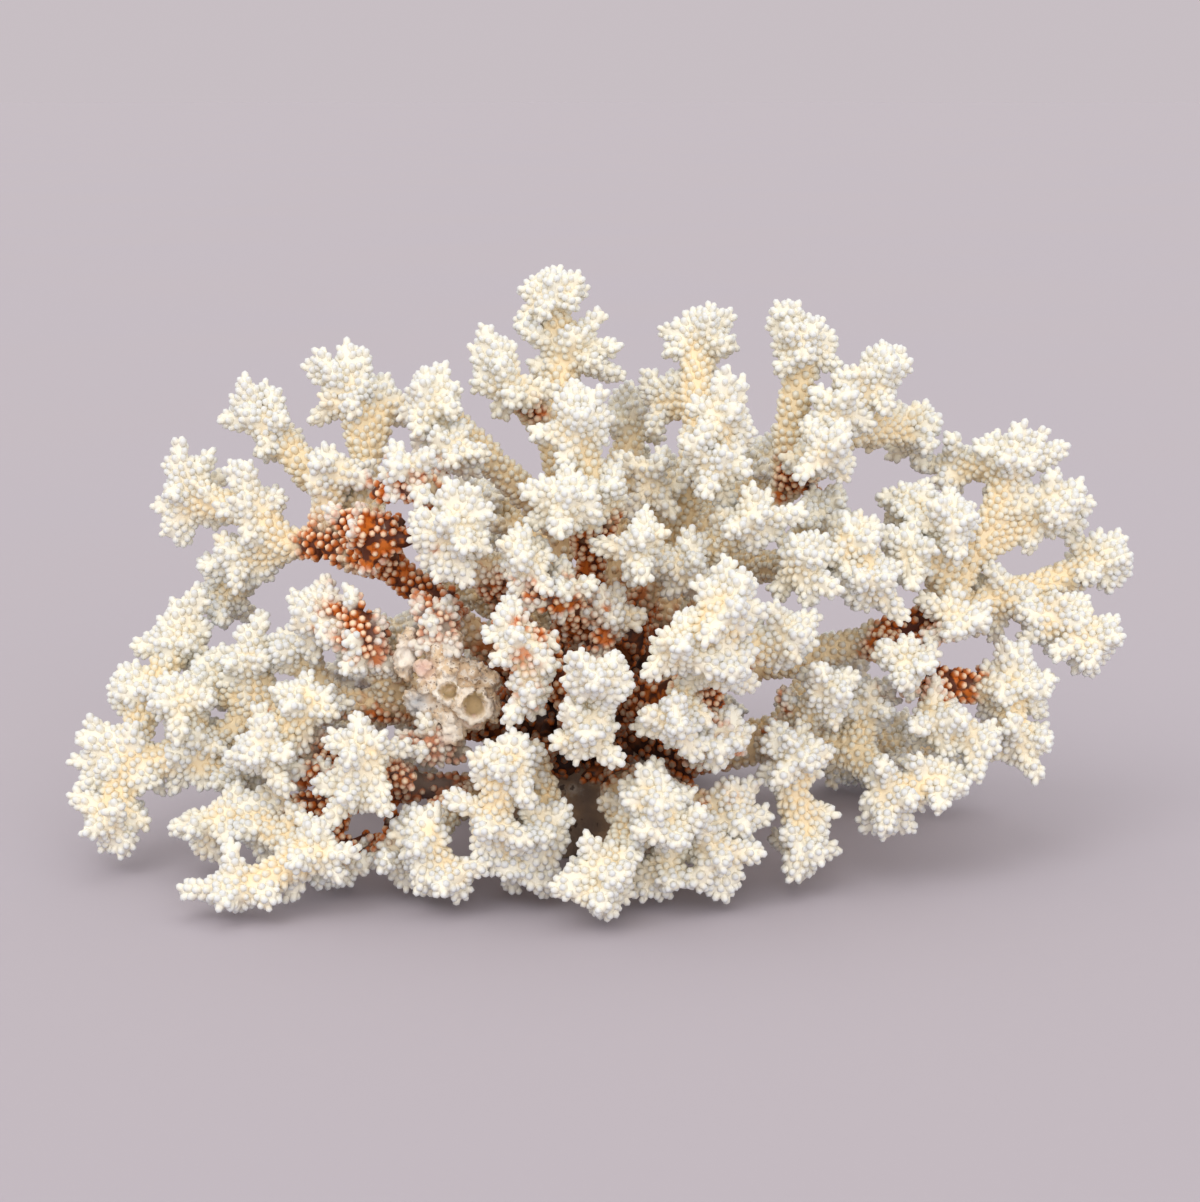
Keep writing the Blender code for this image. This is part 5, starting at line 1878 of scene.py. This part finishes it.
@dataclass
class WormCrust:
    """The chalky crust that worms left on one branch, with two open tubes, in millimetres."""

    lumps: tuple[Lump, ...] = (
        Lump(-50, 57, -58, 4.2), Lump(-45, 60, -59, 4.4), Lump(-39, 60, -58, 3.7), Lump(-34, 57, -57, 3.5),
        Lump(-51, 50, -57, 3.7), Lump(-45, 47, -58, 3.9), Lump(-38, 46, -57, 3.7), Lump(-42, 53, -57, 5.6),
        Lump(-47, 65, -58, 3.9), Lump(-44, 69, -56, 2.8), Lump(-50, 67, -56, 3.0), Lump(-58, 70, -54, 2.4),
        Lump(-57.6, 67.4, -54, 2.7), Lump(-58.7, 64.6, -54, 2.9), Lump(-58, 62, -54.5, 2.4),
        Lump(-58, 60, -54, 2.6), Lump(-53, 61, -59, 2.4), Lump(-55, 51, -57, 3.6), Lump(-44, 42, -59, 3.2),
        Lump(-47, 40, -58, 2.6), Lump(-33, 49, -58, 3.4),
    )
    tubes: tuple[Tube, ...] = (
        Tube((-45, 54, -58), (-45.5, 53.8, -64.2), 3.8, 2.8),
        Tube((-38, 50, -58), (-37.6, 49.4, -64.6), 5.0, 3.8),
    )
    side_bore: tuple[float, float, float] = (-36.6, 52.6, -66.0)
    side_bore_radius: float = 1.6
    bore_depth: float = 6.0
    bore_taper: Span = (0.7, 1.05)
    bore_sides: int = 24
    overshoot: float = 1.0
    tube_sides: int = 28
    lip: float = 0.5
    lip_segments: int = 2
    lump_detail: int = 3
    voxel: float = 0.55
    relief: float = 5.0
    relief_size: float = 2.8
    wear: float = 2.2
    wear_size: float = 1.2
    relief_detail: int = 3
    kept_faces: float = 0.7
    tint_spread: float = 1.6
    bore_tint: float = 0.9
    bore_margin: float = 1.08
    bore_from: float = 0.6
    rim_tint: float = 0.7
    rim_height: float = 2.2
    rim_spread: float = 1.3
    tints: tuple[tuple[str, Lump], ...] = (
        ("pink", Lump(-53, 61, -61, 3.2)), ("pink", Lump(-47, 40, -59, 3.5)),
        ("pink", Lump(-38, 46, -60, 3.0)), ("slate", Lump(-55, 50, -59, 4.2)),
        ("rim", Lump(-45, 43, -60, 4.0)), ("rim", Lump(-58, 65, -55, 5.0)),
    )

    def _tube(self, tube: Tube) -> bpy.types.Object:
        """A stout cylinder from a tube's root to its mouth, with a swollen lip."""
        root, mouth = SHEET.place(*tube.root), SHEET.place(*tube.mouth)
        run = mouth - root
        deselect_all()
        bpy.ops.mesh.primitive_cylinder_add(vertices=self.tube_sides, radius=tube.radius * MM,
                                            depth=run.length * MM,
                                            location=(root + mouth) * (0.5 * MM),
                                            rotation=run.to_track_quat("Z", "Y").to_euler())
        wall = bpy.context.object
        bevel = wall.modifiers.new("lip", "BEVEL")
        bevel.width = self.lip * MM
        bevel.segments = self.lip_segments
        apply_modifiers(wall)
        return wall

    def _roughen(self, crust: bpy.types.Object, depth: float, size: float) -> None:
        """Push the crust's skin in and out.

        Args:
            crust: The crust.
            depth: From the lowest to the highest place.
            size: The lumps' width.
        """
        add_relief(crust, clouds("crust_relief", size, self.relief_detail), depth)
        apply_modifiers(crust)

    def _drill(self, crust: bpy.types.Object, mouth: Vector, way: Vector, radius: float) -> None:
        """Drill a bore into the crust.

        Args:
            crust: The crust.
            mouth: The middle of the bore's mouth.
            way: The direction out of it.
            radius: The bore's radius.
        """
        deselect_all()
        middle = mouth - way * (self.bore_depth * 0.5 - self.overshoot)
        bottom, top = self.bore_taper
        bpy.ops.mesh.primitive_cone_add(vertices=self.bore_sides, radius1=radius * bottom * MM,
                                        radius2=radius * top * MM,
                                        depth=(self.bore_depth + 2.0 * self.overshoot) * MM,
                                        location=middle * MM,
                                        rotation=way.to_track_quat("Z", "Y").to_euler())
        bit = bpy.context.object
        cut = crust.modifiers.new("bore", "BOOLEAN")
        cut.operation = "DIFFERENCE"
        cut.solver = "EXACT"
        cut.object = bit
        apply_modifiers(crust)
        bpy.data.objects.remove(bit, do_unlink=True)

    def build(self, finish: CrustFinish) -> bpy.types.Object:
        """Model the crust and its tubes.

        Args:
            finish: Its finish.

        Returns:
            The crust.
        """
        parts = []
        for lump in self.lumps:
            middle = SHEET.place(lump.across, lump.up, lump.depth)
            deselect_all()
            bpy.ops.mesh.primitive_ico_sphere_add(subdivisions=self.lump_detail, radius=lump.radius * MM,
                                                  location=middle * MM)
            parts.append(bpy.context.object)
        parts += [self._tube(tube) for tube in self.tubes]
        crust = joined(parts, "worm_crust")
        add_fuse(crust, self.voxel)
        self._roughen(crust, self.relief, self.relief_size)
        add_thinning(crust, self.kept_faces)
        apply_modifiers(crust)
        for tube in self.tubes:
            mouth = SHEET.place(*tube.mouth)
            self._drill(crust, mouth, (mouth - SHEET.place(*tube.root)).normalized(), tube.bore)
        outward = Vector((0.0, -1.0, 0.0))
        self._drill(crust, SHEET.place(*self.side_bore), outward, self.side_bore_radius)
        self._roughen(crust, self.wear, self.wear_size)
        self._tint(crust.data)
        shade_smooth(crust)
        crust.data.materials.append(finish.make())
        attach(crust, BODY)
        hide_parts("worm_tubes")
        LOG.info("%s: %d faces", crust.name, len(crust.data.polygons))
        return crust

    def _tint(self, mesh: bpy.types.Mesh) -> None:
        """Keep where the crust is pink, slate grey, chalk-rimmed or dark inside a bore."""
        places = vertex_places(mesh)
        shares = {name: np.zeros(len(places)) for name in ("pink", "slate", "rim", "bore")}
        for name, spot in self.tints:
            middle = np.array(SHEET.place(spot.across, spot.up, spot.depth)[:])
            distance = np.linalg.norm(places - middle, axis=1)
            shares[name] = np.maximum(shares[name], fade(distance, spot.radius * self.tint_spread))
        for tube in self.tubes:
            mouth = np.array(SHEET.place(*tube.mouth)[:])
            root = np.array(SHEET.place(*tube.root)[:])
            way = (mouth - root) / np.linalg.norm(mouth - root)
            along = (places - mouth) @ way
            aside = np.linalg.norm(places - mouth - along[:, None] * way, axis=1)
            inside = ((aside < tube.bore * self.bore_margin) & (along < -self.bore_from)
                      & (along > -self.bore_depth))
            on_rim = (self.rim_tint * fade(np.abs(along), self.rim_height)
                      * (aside < tube.radius * self.rim_spread))
            shares["bore"] = np.maximum(shares["bore"], np.where(inside, self.bore_tint, 0.0))
            shares["rim"] = np.maximum(shares["rim"], on_rim)
        for name, share in shares.items():
            store(mesh, name, share)


@dataclass(frozen=True)
class SoftLight:
    """A wide soft light: the side it comes from, the angle it fills, its power and its colour."""

    name: str
    side: tuple[float, float, float]
    angle: float
    power: float
    colour: Colour


@dataclass
class Studio:
    """The floor, the air, the lights and the camera, in metres."""

    aim: tuple[float, float, float] = (0.0, 0.0, 0.072)
    lens: float = 80.0
    sensor: float = 36.0
    distance: float = 0.8
    elevation: float = math.radians(11.0)
    floor_radius: float = 30.0
    floor_sides: int = 96
    backdrop: Colour = (0.574, 0.518, 0.549)
    air: Colour = (1.0, 0.96, 0.89)
    air_strength: float = 0.79
    lights: tuple[SoftLight, ...] = (
        SoftLight("key", (-0.45, -0.75, 0.95), math.radians(45.0), 0.85, (1.0, 0.99, 0.95)),
        SoftLight("front", (0.2, -1.0, 0.28), math.radians(50.0), 1.3, (1.0, 0.99, 0.97)),
        SoftLight("top", (0.1, 0.35, 1.1), math.radians(60.0), 0.35, (1.0, 0.99, 0.97)),
    )

    def _floor(self, finish: FloorFinish) -> bpy.types.Object:
        """A wide round floor."""
        deselect_all()
        bpy.ops.mesh.primitive_circle_add(vertices=self.floor_sides, radius=self.floor_radius,
                                          fill_type="NGON", location=(0.0, 0.0, 0.0))
        floor = bpy.context.object
        floor.name = floor.data.name = "studio_floor"
        floor.data.materials.append(finish.make())
        return floor

    def _light(self, light: SoftLight) -> None:
        """Hang one light, turned to the coral."""
        deselect_all()
        side = Vector(light.side)
        turn = side.to_track_quat("Z", "Y")
        bpy.ops.object.light_add(type="SUN", location=side, rotation=turn.to_euler())
        lamp = bpy.context.object
        lamp.name = lamp.data.name = f"{light.name}_light"
        lamp.data.angle = light.angle
        lamp.data.energy = light.power
        lamp.data.color = light.colour

    def _camera(self) -> None:
        """Set up the camera at the photograph's angle."""
        aim = Vector(self.aim)
        place = aim + Vector((0.0, -math.cos(self.elevation), math.sin(self.elevation))) * self.distance
        turn = (place - aim).to_track_quat("Z", "Y")
        bpy.ops.object.camera_add(location=place, rotation=turn.to_euler())
        camera = bpy.context.object
        camera.name = camera.data.name = "photo_camera"
        camera.data.lens = self.lens
        camera.data.sensor_width = self.sensor
        bpy.context.scene.camera = camera

    def build(self) -> None:
        """Set up the stage."""
        self._floor(FloorFinish())
        for light in self.lights:
            self._light(light)
        self._camera()
        scene = bpy.context.scene
        scene.view_settings.view_transform = "Standard"
        world = bpy.data.worlds.new("studio_air")
        scene.world = world
        world.use_nodes = True
        tree = world.node_tree
        glow = tree.nodes["Background"]
        glow.inputs["Color"].default_value = (*self.air, 1.0)
        glow.inputs["Strength"].default_value = self.air_strength
        seen = tree.nodes.new("ShaderNodeBackground")
        seen.inputs["Color"].default_value = (*self.backdrop, 1.0)
        ray = tree.nodes.new("ShaderNodeLightPath")
        choice = tree.nodes.new("ShaderNodeMixShader")
        tree.links.new(ray.outputs["Is Camera Ray"], choice.inputs["Fac"])
        tree.links.new(glow.outputs["Background"], choice.inputs[1])
        tree.links.new(seen.outputs["Background"], choice.inputs[2])
        tree.links.new(choice.outputs["Shader"], tree.nodes["World Output"].inputs["Surface"])


def main() -> None:
    """Build the coral, the foot, the worm crust and the studio."""
    logging.basicConfig(level=logging.INFO, format="%(message)s")
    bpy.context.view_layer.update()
    rule = FingerRule()
    fingers = Fingers(Skeleton(SkeletonRule()), rule)
    of_node = {"holdfast": heart_fingers(HeartRule(), rule.knob_reach), **fingers.of_piece}
    pieces = Colony(of_node, CoralFinish()).build()
    pieces.append(Foot().build(StoneFinish()))
    pieces.append(WormCrust().build(CrustFinish()))
    LOG.info("%d pieces, %d faces", len(pieces), sum(len(piece.data.polygons) for piece in pieces))
    Studio().build()


if __name__ == "__main__":
    main()
